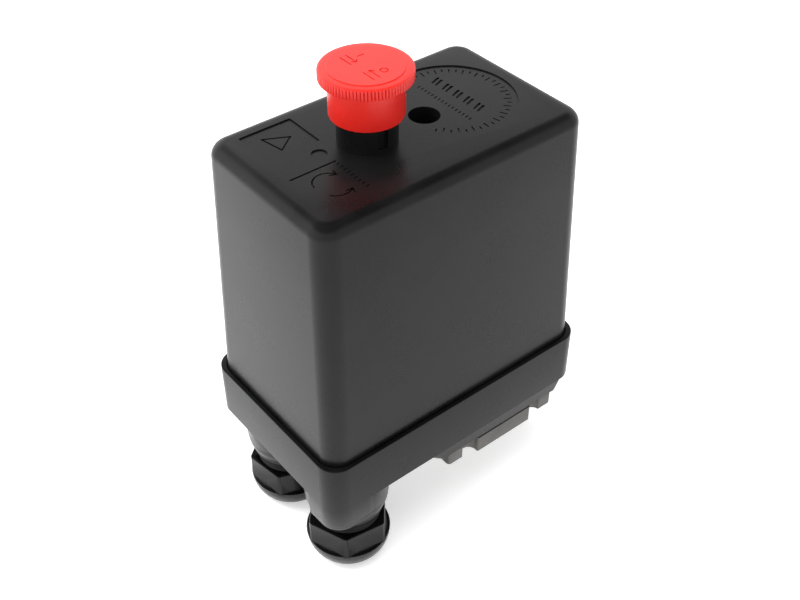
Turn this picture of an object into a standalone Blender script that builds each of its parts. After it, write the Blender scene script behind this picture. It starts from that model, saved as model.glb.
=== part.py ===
"""Pressure switch for a small air compressor.

Metres, +Z up. The origin is the centre of the pressure port's bottom face. +X points away from the cable
glands and -Y is a long side. The base, the flange and the frame stand still; the cover lifts off, the knob
slides in the cover, the piston lifts the rocker, and the contact carrier swings down to open the contacts.
"""

import math

import bmesh
import bpy
from mathutils import Matrix, Vector

MM = 0.001

# Housing
HOUSING_LENGTH = 95.0 * MM
HOUSING_WIDTH = 60.0 * MM
PORT_TO_END = 28.0 * MM
SKIRT_RADIUS = 6.3 * MM
COVER_RADIUS = 6.0 * MM
SKIRT_HEIGHT = 17.3 * MM
BASE_WALL = 4.2 * MM
FLOOR_THICKNESS = 4.0 * MM
RIM_LEDGE = 1.2 * MM
COVER_SEAT_DEPTH = 2.0 * MM
COVER_HEIGHT = 77.9 * MM
COVER_WALL = 2.2 * MM
COVER_DRAFT = math.radians(1.77)
COVER_EDGE = 3.8 * MM
GAP = 0.3 * MM
STEP = 0.1 * MM

# Pressure side
PORT_HEIGHT = 13.5 * MM
PORT_RADIUS = 10.0 * MM
PORT_BORE = 5.9 * MM
PORT_BORE_DEPTH = 11.0 * MM
PORT_PASSAGE = 2.4 * MM
FLANGE_THICKNESS = 7.0 * MM
FLANGE_LENGTH = 43.4 * MM
FLANGE_INSET = 3.0 * MM
FLANGE_BLOCK_LENGTH = 22.0 * MM
FLANGE_BLOCK_REACH = 1.3 * MM
FLANGE_BLOCK_DROP = 1.2 * MM
SCALLOP_RADIUS = 2.6 * MM
LUG_SCREW_IN_X = 3.9 * MM
LUG_SCREW_IN_Y = 4.8 * MM
LUG_SCREW_SINK = 3.2 * MM
CHAMBER_RADIUS = 13.0 * MM
CHAMBER_DEPTH = 3.0 * MM
PEDESTAL_HEIGHT = 5.0 * MM
PEDESTAL_BACK = 5.0 * MM
PEDESTAL_SLOPE = 6.7 * MM
PEDESTAL_FRONT_ROOM = 2.5 * MM
PEDESTAL_SIDE_INSET = 1.2 * MM
DIAPHRAGM_RADIUS = 17.0 * MM
DIAPHRAGM_THICKNESS = 1.2 * MM
PISTON_RADIUS = 14.0 * MM
PISTON_THICKNESS = 3.2 * MM
PISTON_LIFT = 1.2 * MM
STEM_RADIUS = 3.2 * MM
STEM_TIP_RADIUS = 2.0 * MM

# Cable glands
GLAND_FROM_END = 13.8 * MM
FRONT_GLAND_FROM_SIDE = 12.8 * MM
REAR_GLAND_FROM_SIDE = 16.9 * MM
GLAND_PAD_RADIUS = 12.65 * MM
GLAND_PAD_HEIGHT = 6.6 * MM
GLAND_BOSS_RADIUS = 11.2 * MM
GLAND_BOSS_DROP = 12.7 * MM
GLAND_TAPER = 4.4 * MM
THREAD_RADIUS = 10.0 * MM
THREAD_DROP = 9.4 * MM
CABLE_RADIUS = 6.4 * MM
NUT_ACROSS_FLATS = 22.4 * MM
NUT_FLANGE_RADIUS = 12.75 * MM
NUT_SHOULDER = 1.7 * MM
NUT_HEIGHT = 15.7 * MM
NUT_GAP = 4.3 * MM
NUT_CAP = 5.0 * MM
FRONT_NUT_ANGLE = math.radians(-129)
REAR_NUT_ANGLE = math.radians(-141)
SEAL_THICKNESS = 3.1 * MM
RING_THICKNESS = 1.1 * MM

# Knob
KNOB_FROM_PORT = 29.7 * MM
KNOB_RADIUS = 12.1 * MM
KNOB_CAP = 3.2 * MM
KNOB_TOP_ABOVE = 20.9 * MM
KNOB_SKIRT_RADIUS = 9.8 * MM
KNOB_SKIRT_ABOVE = 7.6 * MM
KNOB_WALL = 1.4 * MM
KNOB_HUB_RADIUS = 4.8 * MM
COLLAR_RADIUS = 8.0 * MM
COLLAR_WALL = 1.7 * MM
COLLAR_ABOVE = 10.5 * MM
COLLAR_SLOT = 1.6 * MM
SHAFT_RADIUS = 2.5 * MM
SHAFT_IN_KNOB = 6.0 * MM
BUSH_HEIGHT = 5.0 * MM

# Cover screw
COVER_SCREW_FROM_PORT = 10.9 * MM
COVER_HOLE_RADIUS = 4.3 * MM
COVER_TUBE_DEPTH = 13.0 * MM
TUBE_WALL = 1.6 * MM
TUBE_FLOOR = 2.0 * MM
COVER_SCREW_RADIUS = 1.9 * MM
COVER_SCREW_GRIP = 12.0 * MM
POST_FOOT = 2.0 * MM
POST_RADIUS = 3.6 * MM

# Frame and levers
SHEET = 1.5 * MM
FRAME_HALF_WIDTH = 16.0 * MM
FRAME_BACK = 16.0 * MM
FRAME_FRONT = 14.0 * MM
FRAME_FOOT = 6.0 * MM
FRAME_HEIGHT = 54.0 * MM
PIVOT_FROM_PORT = 12.0 * MM
PIVOT_ABOVE_FLOOR = 19.2 * MM
PIN_RADIUS = 1.5 * MM
EYE_RADIUS = 3.3 * MM
ROCKER_THICKNESS = 2.0 * MM
ROCKER_REACH = 8.0 * MM
CARRIER_HUB = 5.5 * MM
ROCKER_EYE = 3.2 * MM
TRIP_SIDE_INNER = 12.0 * MM
TRIP_PLATE_ABOVE_PIVOT = 7.0 * MM
TRIP_LUG = 2.0 * MM

# Adjusting springs and screws
MAIN_SPRING_RADIUS = 5.4 * MM
MAIN_WIRE = 0.8 * MM
MAIN_TURNS = 6
SEAT_THICKNESS = 1.8 * MM
NUT_BELOW_TOP = 6.5 * MM
RANGE_NUT_RADIUS = 6.2 * MM
RANGE_NUT_THICKNESS = 3.2 * MM
RANGE_SCREW_RADIUS = 2.0 * MM
RANGE_HEAD_RADIUS = 4.2 * MM
SMALL_SPRING_RADIUS = 2.5 * MM
SMALL_WIRE = 0.45 * MM
SMALL_TURNS = 7
SMALL_SPRING_X = 2.0 * MM
SMALL_SPRING_Y = 10.2 * MM
SMALL_NUT_RADIUS = 3.4 * MM
SMALL_SCREW_RADIUS = 1.4 * MM
SMALL_HEAD_RADIUS = 2.8 * MM
ADJUSTER_HEAD = 3.2 * MM

# Contacts and terminals
BLOCK_BACK = 46.0 * MM
BLOCK_FRONT = 34.5 * MM
BLOCK_HALF_WIDTH = 23.0 * MM
POLE_CENTRE = 13.5 * MM
POLE_HALF_PITCH = 5.0 * MM
STRIP_HALF_WIDTH = 2.0 * MM
STRIP_THICKNESS = 1.2 * MM
STRIP_FRONT = 27.6 * MM
TERMINAL_X = 38.0 * MM
BLOCK_SCREW_X = 42.6 * MM
TERMINAL_HEAD_RADIUS = 2.5 * MM
BRIDGE_HALF_LENGTH = 6.8 * MM
BAR_BACK = 33.2 * MM
BAR_THICKNESS = 3.0 * MM
BAR_HALF_WIDTH = 19.0 * MM
CONTACT_SPRING_HEIGHT = 3.4 * MM
CONTACT_SPRING_RADIUS = 1.7 * MM
CONTACT_WIRE = 0.35 * MM

# Screws
SCREW_RADIUS = 1.5 * MM
HEAD_RADIUS = 2.7 * MM
HEAD_HEIGHT = 2.0 * MM
FLANGE_SCREW_RADIUS = 1.9 * MM
FLANGE_HEAD_RADIUS = 2.8 * MM
FLANGE_SCREW_BITE = 6.0 * MM
FLANGE_HEAD = 2.6 * MM
SCREW_DEPTH = 3.0 * MM
TERMINAL_SCREW_DEPTH = 7.0 * MM
SLOT_WIDTH = 0.9 * MM

# Heights that follow from the sizes above
FLANGE_BOTTOM = PORT_HEIGHT
FLANGE_TOP = FLANGE_BOTTOM + FLANGE_THICKNESS
PEDESTAL_BOTTOM = FLANGE_TOP + GAP
SKIRT_BOTTOM = PEDESTAL_BOTTOM + PEDESTAL_HEIGHT
FLOOR_TOP = SKIRT_BOTTOM + FLOOR_THICKNESS
RIM = SKIRT_BOTTOM + SKIRT_HEIGHT
COVER_BOTTOM = RIM - COVER_SEAT_DEPTH + GAP
COVER_TOP = RIM + COVER_HEIGHT
PISTON_BOTTOM = PEDESTAL_BOTTOM + DIAPHRAGM_THICKNESS + 2 * GAP
PISTON_TOP = PISTON_BOTTOM + PISTON_THICKNESS
FRAME_BOTTOM = FLOOR_TOP + GAP
FRAME_TOP = FRAME_BOTTOM + FRAME_HEIGHT
PIVOT_Z = FLOOR_TOP + PIVOT_ABOVE_FLOOR
ROCKER_BOTTOM = PIVOT_Z - ROCKER_THICKNESS / 2
ROCKER_TOP = PIVOT_Z + ROCKER_THICKNESS / 2
SEAT_TOP = ROCKER_TOP + GAP + SEAT_THICKNESS
NUT_TOP = FRAME_TOP - SHEET - NUT_BELOW_TOP
RANGE_NUT_BOTTOM = NUT_TOP - RANGE_NUT_THICKNESS
STRIP_BOTTOM = PIVOT_Z - STRIP_THICKNESS / 2
BLOCK_TOP = STRIP_BOTTOM - GAP
BRIDGE_TOP = STRIP_BOTTOM - GAP
BRIDGE_BOTTOM = BRIDGE_TOP - STRIP_THICKNESS
BAR_TOP = BRIDGE_BOTTOM - 2 * GAP - CONTACT_SPRING_HEIGHT
BAR_BOTTOM = BAR_TOP - BAR_THICKNESS
TRIP_PLATE_BOTTOM = PIVOT_Z + TRIP_PLATE_ABOVE_PIVOT
TRIP_PLATE_TOP = TRIP_PLATE_BOTTOM + SHEET
KNOB_TOP = COVER_TOP + KNOB_TOP_ABOVE
KNOB_BOTTOM = COVER_TOP + KNOB_SKIRT_ABOVE
CAP_BOTTOM = KNOB_TOP - KNOB_CAP
SHAFT_TOP = CAP_BOTTOM - KNOB_WALL
TUBE_BOTTOM = COVER_TOP - COVER_TUBE_DEPTH
NUT_Z_TOP = SKIRT_BOTTOM - GLAND_BOSS_DROP - NUT_GAP
NUT_Z_BOTTOM = NUT_Z_TOP - NUT_HEIGHT
THREAD_BOTTOM = SKIRT_BOTTOM - GLAND_BOSS_DROP - THREAD_DROP

# Places in plan
BACK_END = PORT_TO_END - HOUSING_LENGTH
HALF_WIDTH = HOUSING_WIDTH / 2
GLAND_X = BACK_END + GLAND_FROM_END
FLANGE_HALF_X = FLANGE_LENGTH / 2
FLANGE_HALF_Y = HALF_WIDTH - FLANGE_INSET
FLANGE_SCREW_X = FLANGE_HALF_X - LUG_SCREW_IN_X
FLANGE_SCREW_Y = FLANGE_HALF_Y - LUG_SCREW_IN_Y
KNOB_X = -KNOB_FROM_PORT
SCREW_X = -COVER_SCREW_FROM_PORT
PIVOT_X = -PIVOT_FROM_PORT
SIDES = (("front", -1), ("rear", 1))
GLAND_Y = {"front": FRONT_GLAND_FROM_SIDE - HALF_WIDTH, "rear": HALF_WIDTH - REAR_GLAND_FROM_SIDE}
NUT_ANGLE = {"front": FRONT_NUT_ANGLE, "rear": REAR_NUT_ANGLE}

ROUND = 24
WIDE_ROUND = 32
PAD_ROUND = 40
SMALL_ROUND = 16


def clear_scene():
    for obj in list(bpy.data.objects):
        bpy.data.objects.remove(obj, do_unlink=True)


def collection(name, hidden=False):
    made = bpy.data.collections.new(name)
    bpy.context.scene.collection.children.link(made)
    made.hide_render = hidden
    return made


clear_scene()
PARTS = collection("pressure_switch")
CUTTERS = collection("cutters", hidden=True)


def material(name, colour, roughness, metallic=0.0):
    made = bpy.data.materials.new(name)
    made.use_nodes = True
    shader = made.node_tree.nodes["Principled BSDF"]
    shader.inputs["Base Color"].default_value = (*colour, 1.0)
    shader.inputs["Roughness"].default_value = roughness
    shader.inputs["Metallic"].default_value = metallic
    return made


def solid(name, mesh_maker, bevel=0.0, bevel_segments=2):
    """One object in the cutters' collection, made from a bmesh."""
    mesh = bpy.data.meshes.new(name)
    shape = bmesh.new()
    mesh_maker(shape)
    if bevel:
        bmesh.ops.bevel(
            shape, geom=shape.edges[:], offset=bevel, segments=bevel_segments, affect="EDGES", profile=0.5
        )
    bmesh.ops.recalc_face_normals(shape, faces=shape.faces[:])
    shape.to_mesh(mesh)
    shape.free()
    obj = bpy.data.objects.new(name, mesh)
    CUTTERS.objects.link(obj)
    obj.hide_render = True
    obj.display_type = "WIRE"
    return obj


def box(name, low, high, bevel=0.0):
    size = Vector(high) - Vector(low)
    centre = (Vector(high) + Vector(low)) / 2

    def make(shape):
        place = Matrix.Translation(centre) @ Matrix.Diagonal((*size, 1.0))
        bmesh.ops.create_cube(shape, size=1.0, matrix=place)

    return solid(name, make, bevel)


def tapered(name, low, high, top_inset, plan_radius, plan_segments=5):
    """A box with rounded upright edges whose top is smaller on every side by top_inset, (x, y)."""
    inset = Vector(top_inset)
    size = Vector(high) - Vector(low)
    centre = (Vector(high) + Vector(low)) / 2

    def make(shape):
        bmesh.ops.create_cube(shape, size=1.0, matrix=Matrix.Diagonal((*size, 1.0)))
        for vertex in shape.verts:
            if vertex.co.z > 0:
                vertex.co.x -= math.copysign(inset.x, vertex.co.x)
                vertex.co.y -= math.copysign(inset.y, vertex.co.y)
        upright = [edge for edge in shape.edges if abs(edge.verts[0].co.z - edge.verts[1].co.z) > size.z / 2]
        bmesh.ops.bevel(
            shape, geom=upright, offset=plan_radius, segments=plan_segments, affect="EDGES", profile=0.5
        )
        bmesh.ops.translate(shape, verts=shape.verts[:], vec=centre)

    return solid(name, make)


def cylinder(name, radius, low, high, x=0.0, y=0.0, sides=ROUND, top_radius=None, axis="Z"):
    """A cylinder or cone between two heights, or along Y between two widths with (x, y) read as (x, z)."""
    far_radius = radius if top_radius is None else top_radius
    middle = (low + high) / 2
    turn = Matrix.Identity(4)
    place = Vector((x, y, middle))
    if axis == "Y":
        turn = Matrix.Rotation(math.radians(-90), 4, "X")
        place = Vector((x, middle, y))

    def make(shape):
        bmesh.ops.create_cone(
            shape,
            cap_ends=True,
            segments=sides,
            radius1=radius,
            radius2=far_radius,
            depth=high - low,
            matrix=Matrix.Translation(place) @ turn,
        )

    return solid(name, make)


def turned(name, profile, x=0.0, y=0.0, sides=ROUND):
    """A closed profile of (radius, height), turned about the upright axis through (x, y)."""
    mesh = bpy.data.meshes.new(name)
    points = [(radius, 0.0, height) for radius, height in profile]
    closed = all(radius > 0 for radius, _ in profile)
    edges = [(index, index + 1) for index in range(len(points) - 1)]
    if closed:
        edges.append((len(points) - 1, 0))
    mesh.from_pydata(points, edges, [])
    obj = bpy.data.objects.new(name, mesh)
    CUTTERS.objects.link(obj)
    obj.hide_render = True
    obj.display_type = "WIRE"
    obj.location = (x, y, 0.0)
    screw = obj.modifiers.new("turn", "SCREW")
    screw.steps = sides
    screw.render_steps = sides
    screw.use_merge_vertices = True
    screw.merge_threshold = 0.00001
    return obj


def coil(name, radius, wire, low, high, turns, x, y):
    """A round-wire compression spring between two heights, its ends wound flat."""
    curve = bpy.data.curves.new(name, "CURVE")
    curve.dimensions = "3D"
    curve.bevel_depth = wire
    curve.bevel_resolution = 1
    curve.use_fill_caps = True
    per_turn = 8
    total = turns * per_turn
    spline = curve.splines.new("POLY")
    spline.points.add(total)
    rise = high - low - 2 * wire
    for index, point in enumerate(spline.points):
        share = index / total
        angle = 2 * math.pi * index / per_turn
        height = low + wire + rise * share
        point.co = (radius * math.cos(angle), radius * math.sin(angle), height, 1.0)
    obj = bpy.data.objects.new(name, curve)
    obj.location = (x, y, 0.0)
    CUTTERS.objects.link(obj)
    return obj


def boolean(obj, operation, others):
    for other in others:
        step = obj.modifiers.new(f"{operation.lower()} {other.name}", "BOOLEAN")
        step.operation = operation
        step.solver = "EXACT"
        step.object = other
    return obj


def cut(obj, *others):
    return boolean(obj, "DIFFERENCE", others)


def join(obj, *others):
    return boolean(obj, "UNION", others)


def drill(obj, name, radius, low, high, x, y):
    """Cuts one upright screw hole."""
    return cut(obj, cylinder(name, radius, low, high, x, y, SMALL_ROUND))


def hang_on_empty(obj, origin):
    """Parents a turned piece, whose own origin is its turning axis, to an empty on its joint's axis."""
    empty = bpy.data.objects.new(f"{obj.name} axis", None)
    PARTS.objects.link(empty)
    empty.location = origin
    obj.parent = empty
    obj.matrix_parent_inverse = Matrix.Translation(-Vector(origin))


def finish(obj, surface, origin=None):
    """Moves an object to the parts, gives it its material, and puts its origin on its joint's axis."""
    CUTTERS.objects.unlink(obj)
    PARTS.objects.link(obj)
    obj.hide_render = False
    obj.display_type = "TEXTURED"
    obj.data.materials.clear()
    obj.data.materials.append(surface)
    if origin is not None and any(step.type == "SCREW" for step in obj.modifiers):
        hang_on_empty(obj, origin)
    elif origin is not None:
        shift = Vector(origin) - obj.location
        obj.data.transform(Matrix.Translation(-shift))
        obj.location = origin
    if obj.type == "MESH":
        obj.data.shade_smooth()
        obj.data.set_sharp_from_angle(angle=math.radians(35))
    return obj


BLACK = material("black_plastic", (0.022, 0.022, 0.024), 0.42)
RED = material("red_plastic", (0.72, 0.03, 0.02), 0.35)
GLAND_BLACK = material("gland_plastic", (0.014, 0.014, 0.016), 0.34)
CAST = material("cast_zinc", (0.40, 0.40, 0.39), 0.55, 0.6)
RUBBER = material("black_rubber", (0.03, 0.03, 0.03), 0.8)
STEEL = material("zinc_plated_steel", (0.62, 0.60, 0.55), 0.35, 1.0)
SCREW_STEEL = material("screw_steel", (0.66, 0.66, 0.64), 0.3, 1.0)
SPRING_STEEL = material("spring_steel", (0.5, 0.5, 0.52), 0.3, 1.0)
BRASS = material("brass", (0.72, 0.52, 0.2), 0.3, 1.0)
BLOCK_PLASTIC = material("block_plastic", (0.16, 0.12, 0.09), 0.55)
CARRIER_PLASTIC = material("carrier_plastic", (0.75, 0.73, 0.66), 0.5)


def slotted_screw(name, radius, head_radius, tip, seat, head, x, y, up=1, origin=None, surface=None):
    """A screw on an upright line: shank from tip to seat, head beyond it on the side that up says."""
    outer = seat + up * head
    shank_low, shank_high = sorted((tip, seat + up * head * 0.3))
    shank = cylinder(name, radius, shank_low, shank_high, x, y, SMALL_ROUND)
    low_head, high_head = sorted((seat, outer))
    screw_head = cylinder(f"{name} head", head_radius, low_head, high_head, x, y, SMALL_ROUND)
    slot_low, slot_high = sorted((outer - up * head * 0.45, outer + up * head))
    slot = box(
        f"{name} slot",
        (x - SLOT_WIDTH / 2, y - 2 * head_radius, slot_low),
        (x + SLOT_WIDTH / 2, y + 2 * head_radius, slot_high),
    )
    join(shank, screw_head)
    cut(shank, slot)
    return finish(shank, surface or SCREW_STEEL, origin)


def corner_reach(half_x, half_y, radius, angle):
    """How far a rounded rectangle reaches from its middle, at an angle between 0 and 90 degrees."""
    way = Vector((math.cos(angle), math.sin(angle)))
    if half_x * way.y <= (half_y - radius) * way.x:
        return half_x / way.x
    if half_y * way.x <= (half_x - radius) * way.y:
        return half_y / way.y
    centre = Vector((half_x - radius, half_y - radius))
    along = way.dot(centre)
    return along + math.sqrt(along**2 - centre.length_squared + radius**2)


def pad_reach(side, angle):
    """The outline of a gland's pad: round, and at the front gland square to the skirt's own corner."""
    if side == "front" and math.pi < angle < 1.5 * math.pi:
        half_x = GLAND_FROM_END - STEP
        half_y = FRONT_GLAND_FROM_SIDE - STEP
        return max(GLAND_PAD_RADIUS, corner_reach(half_x, half_y, SKIRT_RADIUS, angle - math.pi))
    return GLAND_PAD_RADIUS


def gland_boss(side, y):
    """The pad under the skirt, the round taper below it, the boss and the threaded neck of one gland."""
    pad_bottom = SKIRT_BOTTOM - GLAND_PAD_HEIGHT
    boss_bottom = SKIRT_BOTTOM - GLAND_BOSS_DROP
    levels = [(SKIRT_BOTTOM + 1 * MM, 0.0, GLAND_BOSS_RADIUS), (pad_bottom, 0.0, GLAND_BOSS_RADIUS)]
    steps = 3
    for step in range(1, steps + 1):
        angle = math.pi / 2 * step / steps
        levels.append((pad_bottom - GLAND_TAPER * math.sin(angle), 1 - math.cos(angle), GLAND_BOSS_RADIUS))
    levels += [
        (boss_bottom, 1.0, GLAND_BOSS_RADIUS),
        (boss_bottom, 1.0, THREAD_RADIUS),
        (THREAD_BOTTOM, 1.0, THREAD_RADIUS),
    ]

    def make(shape):
        rings = []
        for height, share, radius in levels:
            ring = []
            for index in range(PAD_ROUND):
                angle = 2 * math.pi * index / PAD_ROUND
                reach = radius * share + pad_reach(side, angle) * (1 - share)
                place = (GLAND_X + reach * math.cos(angle), y + reach * math.sin(angle), height)
                ring.append(shape.verts.new(place))
            rings.append(ring)
        for upper, lower in zip(rings, rings[1:]):
            for index in range(PAD_ROUND):
                after = (index + 1) % PAD_ROUND
                shape.faces.new((upper[index], upper[after], lower[after], lower[index]))
        shape.faces.new(rings[0])
        shape.faces.new(rings[-1])

    return solid(f"{side} gland boss", make)


def base():
    """The lower housing: skirt, floor, pedestal and gland bosses in one moulding."""
    body = tapered(
        "base",
        (BACK_END, -HALF_WIDTH, SKIRT_BOTTOM),
        (PORT_TO_END, HALF_WIDTH, RIM),
        (0.0, 0.0),
        SKIRT_RADIUS,
    )
    bottom_low = -FLANGE_HALF_X - PEDESTAL_BACK
    bottom_high = FLANGE_HALF_X + 0.6 * MM
    pedestal_y = HALF_WIDTH - PEDESTAL_SIDE_INSET
    slope = Vector((PEDESTAL_SLOPE, 0.4 * MM))
    pedestal = tapered(
        "pedestal",
        (bottom_low, -pedestal_y, -SKIRT_BOTTOM - 0.5 * MM),
        (bottom_high, pedestal_y, -PEDESTAL_BOTTOM),
        (0.0, 0.0),
        2.0 * MM,
        3,
    )
    widen_pedestal(pedestal, slope, bottom_high)
    glands = [gland_boss(side, y) for side, y in GLAND_Y.items()]
    bores = []
    for side, y in GLAND_Y.items():
        low, high = THREAD_BOTTOM - 1 * MM, FLOOR_TOP + 1 * MM
        bores.append(cylinder(f"{side} cable bore", CABLE_RADIUS, low, high, GLAND_X, y))
    inner_low = BACK_END + BASE_WALL
    inner_high = PORT_TO_END - BASE_WALL
    cavity = tapered(
        "cavity",
        (inner_low, BASE_WALL - HALF_WIDTH, FLOOR_TOP),
        (inner_high, HALF_WIDTH - BASE_WALL, RIM + 5 * MM),
        (0.0, 0.0),
        COVER_RADIUS - 2.0 * MM,
    )
    seat = tapered(
        "cover seat",
        (BACK_END + RIM_LEDGE, RIM_LEDGE - HALF_WIDTH, RIM - COVER_SEAT_DEPTH),
        (PORT_TO_END - RIM_LEDGE, HALF_WIDTH - RIM_LEDGE, RIM + 5 * MM),
        (0.0, 0.0),
        COVER_RADIUS + GAP,
    )
    chamber_top = PISTON_TOP + PISTON_LIFT + GAP
    chamber = turned(
        "piston chamber",
        [
            (0.0, FLOOR_TOP + 1 * MM),
            (STEM_RADIUS + GAP, FLOOR_TOP + 1 * MM),
            (STEM_RADIUS + GAP, chamber_top),
            (PISTON_RADIUS + GAP, chamber_top),
            (PISTON_RADIUS + GAP, PEDESTAL_BOTTOM + DIAPHRAGM_THICKNESS + GAP),
            (DIAPHRAGM_RADIUS + GAP, PEDESTAL_BOTTOM + DIAPHRAGM_THICKNESS + GAP),
            (DIAPHRAGM_RADIUS + GAP, PEDESTAL_BOTTOM - 1 * MM),
            (0.0, PEDESTAL_BOTTOM - 1 * MM),
        ],
    )
    join(body, pedestal, *glands)
    cut(body, cavity, seat, chamber, *bores)
    for index, (x, y) in enumerate(flange_screw_places()):
        low = PEDESTAL_BOTTOM - 1 * MM
        top = PEDESTAL_BOTTOM + FLANGE_SCREW_BITE
        drill(body, f"flange hole {index}", FLANGE_SCREW_RADIUS + GAP, low, top, x, y)
    for index, (x, y) in enumerate(floor_screw_places()):
        low = FLOOR_TOP - SCREW_DEPTH
        drill(body, f"floor hole {index}", SCREW_RADIUS + GAP, low, FLOOR_TOP + 1 * MM, x, y)
    return finish(body, BLACK)


def widen_pedestal(pedestal, slope, bottom_high):
    """Turns the block over and spreads its upper edge, so that it widens from the flange up to the skirt."""
    pedestal.data.transform(Matrix.Scale(-1.0, 4, (0, 0, 1)))
    middle = (SKIRT_BOTTOM + PEDESTAL_BOTTOM) / 2
    room = PORT_TO_END - PEDESTAL_FRONT_ROOM
    for vertex in pedestal.data.vertices:
        if vertex.co.z > middle:
            vertex.co.x += -slope.x if vertex.co.x < 0 else room - bottom_high
            vertex.co.y += math.copysign(slope.y, vertex.co.y)
    pedestal.data.flip_normals()


def flange_screw_places():
    return [(x, y) for x in (-FLANGE_SCREW_X, FLANGE_SCREW_X) for y in (-FLANGE_SCREW_Y, FLANGE_SCREW_Y)]


def frame_screw_places():
    back = -FRAME_BACK - FRAME_FOOT / 2
    front = FRAME_FRONT + FRAME_FOOT / 2
    return [(x, y) for x in (back, front) for y in (-SMALL_SPRING_Y, SMALL_SPRING_Y)]


def block_screw_places():
    return [(-BLOCK_SCREW_X, -POLE_CENTRE), (-BLOCK_SCREW_X, POLE_CENTRE)]


def floor_screw_places():
    return frame_screw_places() + block_screw_places() + [earth_place()]


def earth_place():
    return (FRAME_FRONT + FRAME_FOOT / 2, 0.0)


def cover():
    """The upper shell with the knob's collar and the tube that the cover screw goes down."""
    outset = RIM_LEDGE + GAP
    height = COVER_TOP - COVER_BOTTOM
    lean = math.tan(COVER_DRAFT) * height
    low = (BACK_END + outset, outset - HALF_WIDTH, COVER_BOTTOM)
    high = (PORT_TO_END - outset, HALF_WIDTH - outset, COVER_TOP)
    shell = tapered("cover", low, high, (lean, lean), COVER_RADIUS)
    shape = bmesh.new()
    shape.from_mesh(shell.data)
    top_edges = [edge for edge in shape.edges if all(v.co.z > COVER_TOP - 0.1 * MM for v in edge.verts)]
    bmesh.ops.bevel(shape, geom=top_edges, offset=COVER_EDGE, segments=4, affect="EDGES", profile=0.5)
    floor = [face for face in shape.faces if all(v.co.z < COVER_BOTTOM + 0.1 * MM for v in face.verts)]
    bmesh.ops.delete(shape, geom=floor, context="FACES")
    shape.to_mesh(shell.data)
    shape.free()
    wall = shell.modifiers.new("wall", "SOLIDIFY")
    wall.thickness = COVER_WALL
    wall.offset = -1.0
    wall.use_even_offset = True
    inside = COVER_TOP - COVER_WALL
    sink = COVER_WALL / 2
    collar = cylinder("collar", COLLAR_RADIUS, inside + sink, COVER_TOP + COLLAR_ABOVE, KNOB_X)
    collar_bore = cylinder("collar bore", COLLAR_RADIUS - COLLAR_WALL, inside - 1 * MM, KNOB_TOP, KNOB_X)
    slot_angle = math.radians(-52)
    slot_reach = COLLAR_RADIUS + 0.2 * MM
    slot_centre = Vector((KNOB_X + slot_reach * math.cos(slot_angle), slot_reach * math.sin(slot_angle), 0.0))
    slot = box(
        "collar slot",
        (-0.8 * MM, -COLLAR_SLOT / 2, COVER_TOP + 1.2 * MM),
        (0.8 * MM, COLLAR_SLOT / 2, COVER_TOP + COLLAR_ABOVE + 1 * MM),
    )
    slot.data.transform(Matrix.Translation(slot_centre) @ Matrix.Rotation(slot_angle, 4, "Z"))
    tube = cylinder("screw tube", COVER_HOLE_RADIUS + TUBE_WALL, TUBE_BOTTOM, inside + sink, SCREW_X)
    hole = cylinder("screw well", COVER_HOLE_RADIUS, TUBE_BOTTOM + TUBE_FLOOR, COVER_TOP + 1 * MM, SCREW_X)
    through = cylinder(
        "screw hole", COVER_SCREW_RADIUS + GAP, TUBE_BOTTOM - 1 * MM, COVER_TOP, SCREW_X, 0.0, SMALL_ROUND
    )
    join(shell, collar, tube)
    cut(shell, collar_bore, slot, hole, through)
    return finish(shell, BLACK)


def knob_pieces():
    """The knob with its hollow skirt and hub, the shaft that it pushes, and the bush round the shaft."""
    inner = KNOB_SKIRT_RADIUS - KNOB_WALL
    hub_bottom = CAP_BOTTOM - SHAFT_IN_KNOB - KNOB_WALL
    bore = SHAFT_RADIUS + GAP
    edge = 0.5 * MM
    knob = turned(
        "knob",
        [
            (0.0, KNOB_TOP),
            (KNOB_RADIUS - edge, KNOB_TOP),
            (KNOB_RADIUS, KNOB_TOP - edge),
            (KNOB_RADIUS, CAP_BOTTOM + edge),
            (KNOB_RADIUS - edge, CAP_BOTTOM),
            (KNOB_SKIRT_RADIUS, CAP_BOTTOM),
            (KNOB_SKIRT_RADIUS, KNOB_BOTTOM + edge),
            (KNOB_SKIRT_RADIUS - edge, KNOB_BOTTOM),
            (inner, KNOB_BOTTOM),
            (inner, CAP_BOTTOM - KNOB_WALL),
            (KNOB_HUB_RADIUS, CAP_BOTTOM - KNOB_WALL),
            (KNOB_HUB_RADIUS, hub_bottom),
            (bore, hub_bottom),
            (bore, SHAFT_TOP + GAP),
            (0.0, SHAFT_TOP + GAP),
        ],
        KNOB_X,
        0.0,
        WIDE_ROUND,
    )
    finish(knob, RED)
    shaft_low = TRIP_PLATE_TOP + GAP
    tip = []
    for step in range(5):
        angle = math.pi / 2 * (1 - step / 4)
        tip.append((SHAFT_RADIUS * math.sin(angle), shaft_low + SHAFT_RADIUS * (1 - math.cos(angle))))
    shaft = turned(
        "knob_shaft",
        [
            (0.0, SHAFT_TOP),
            (SHAFT_RADIUS, SHAFT_TOP),
            *tip,
        ],
        KNOB_X,
        0.0,
        SMALL_ROUND,
    )
    finish(shaft, STEEL)
    bush_low = COVER_TOP - COVER_WALL
    bush_outer = COLLAR_RADIUS - COLLAR_WALL - GAP
    bush = turned(
        "knob_bush",
        [
            (bush_outer, bush_low + BUSH_HEIGHT),
            (bush_outer, bush_low),
            (bore, bush_low),
            (bore, bush_low + BUSH_HEIGHT),
        ],
        KNOB_X,
        0.0,
        24,
    )
    finish(bush, GLAND_BLACK)


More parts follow.
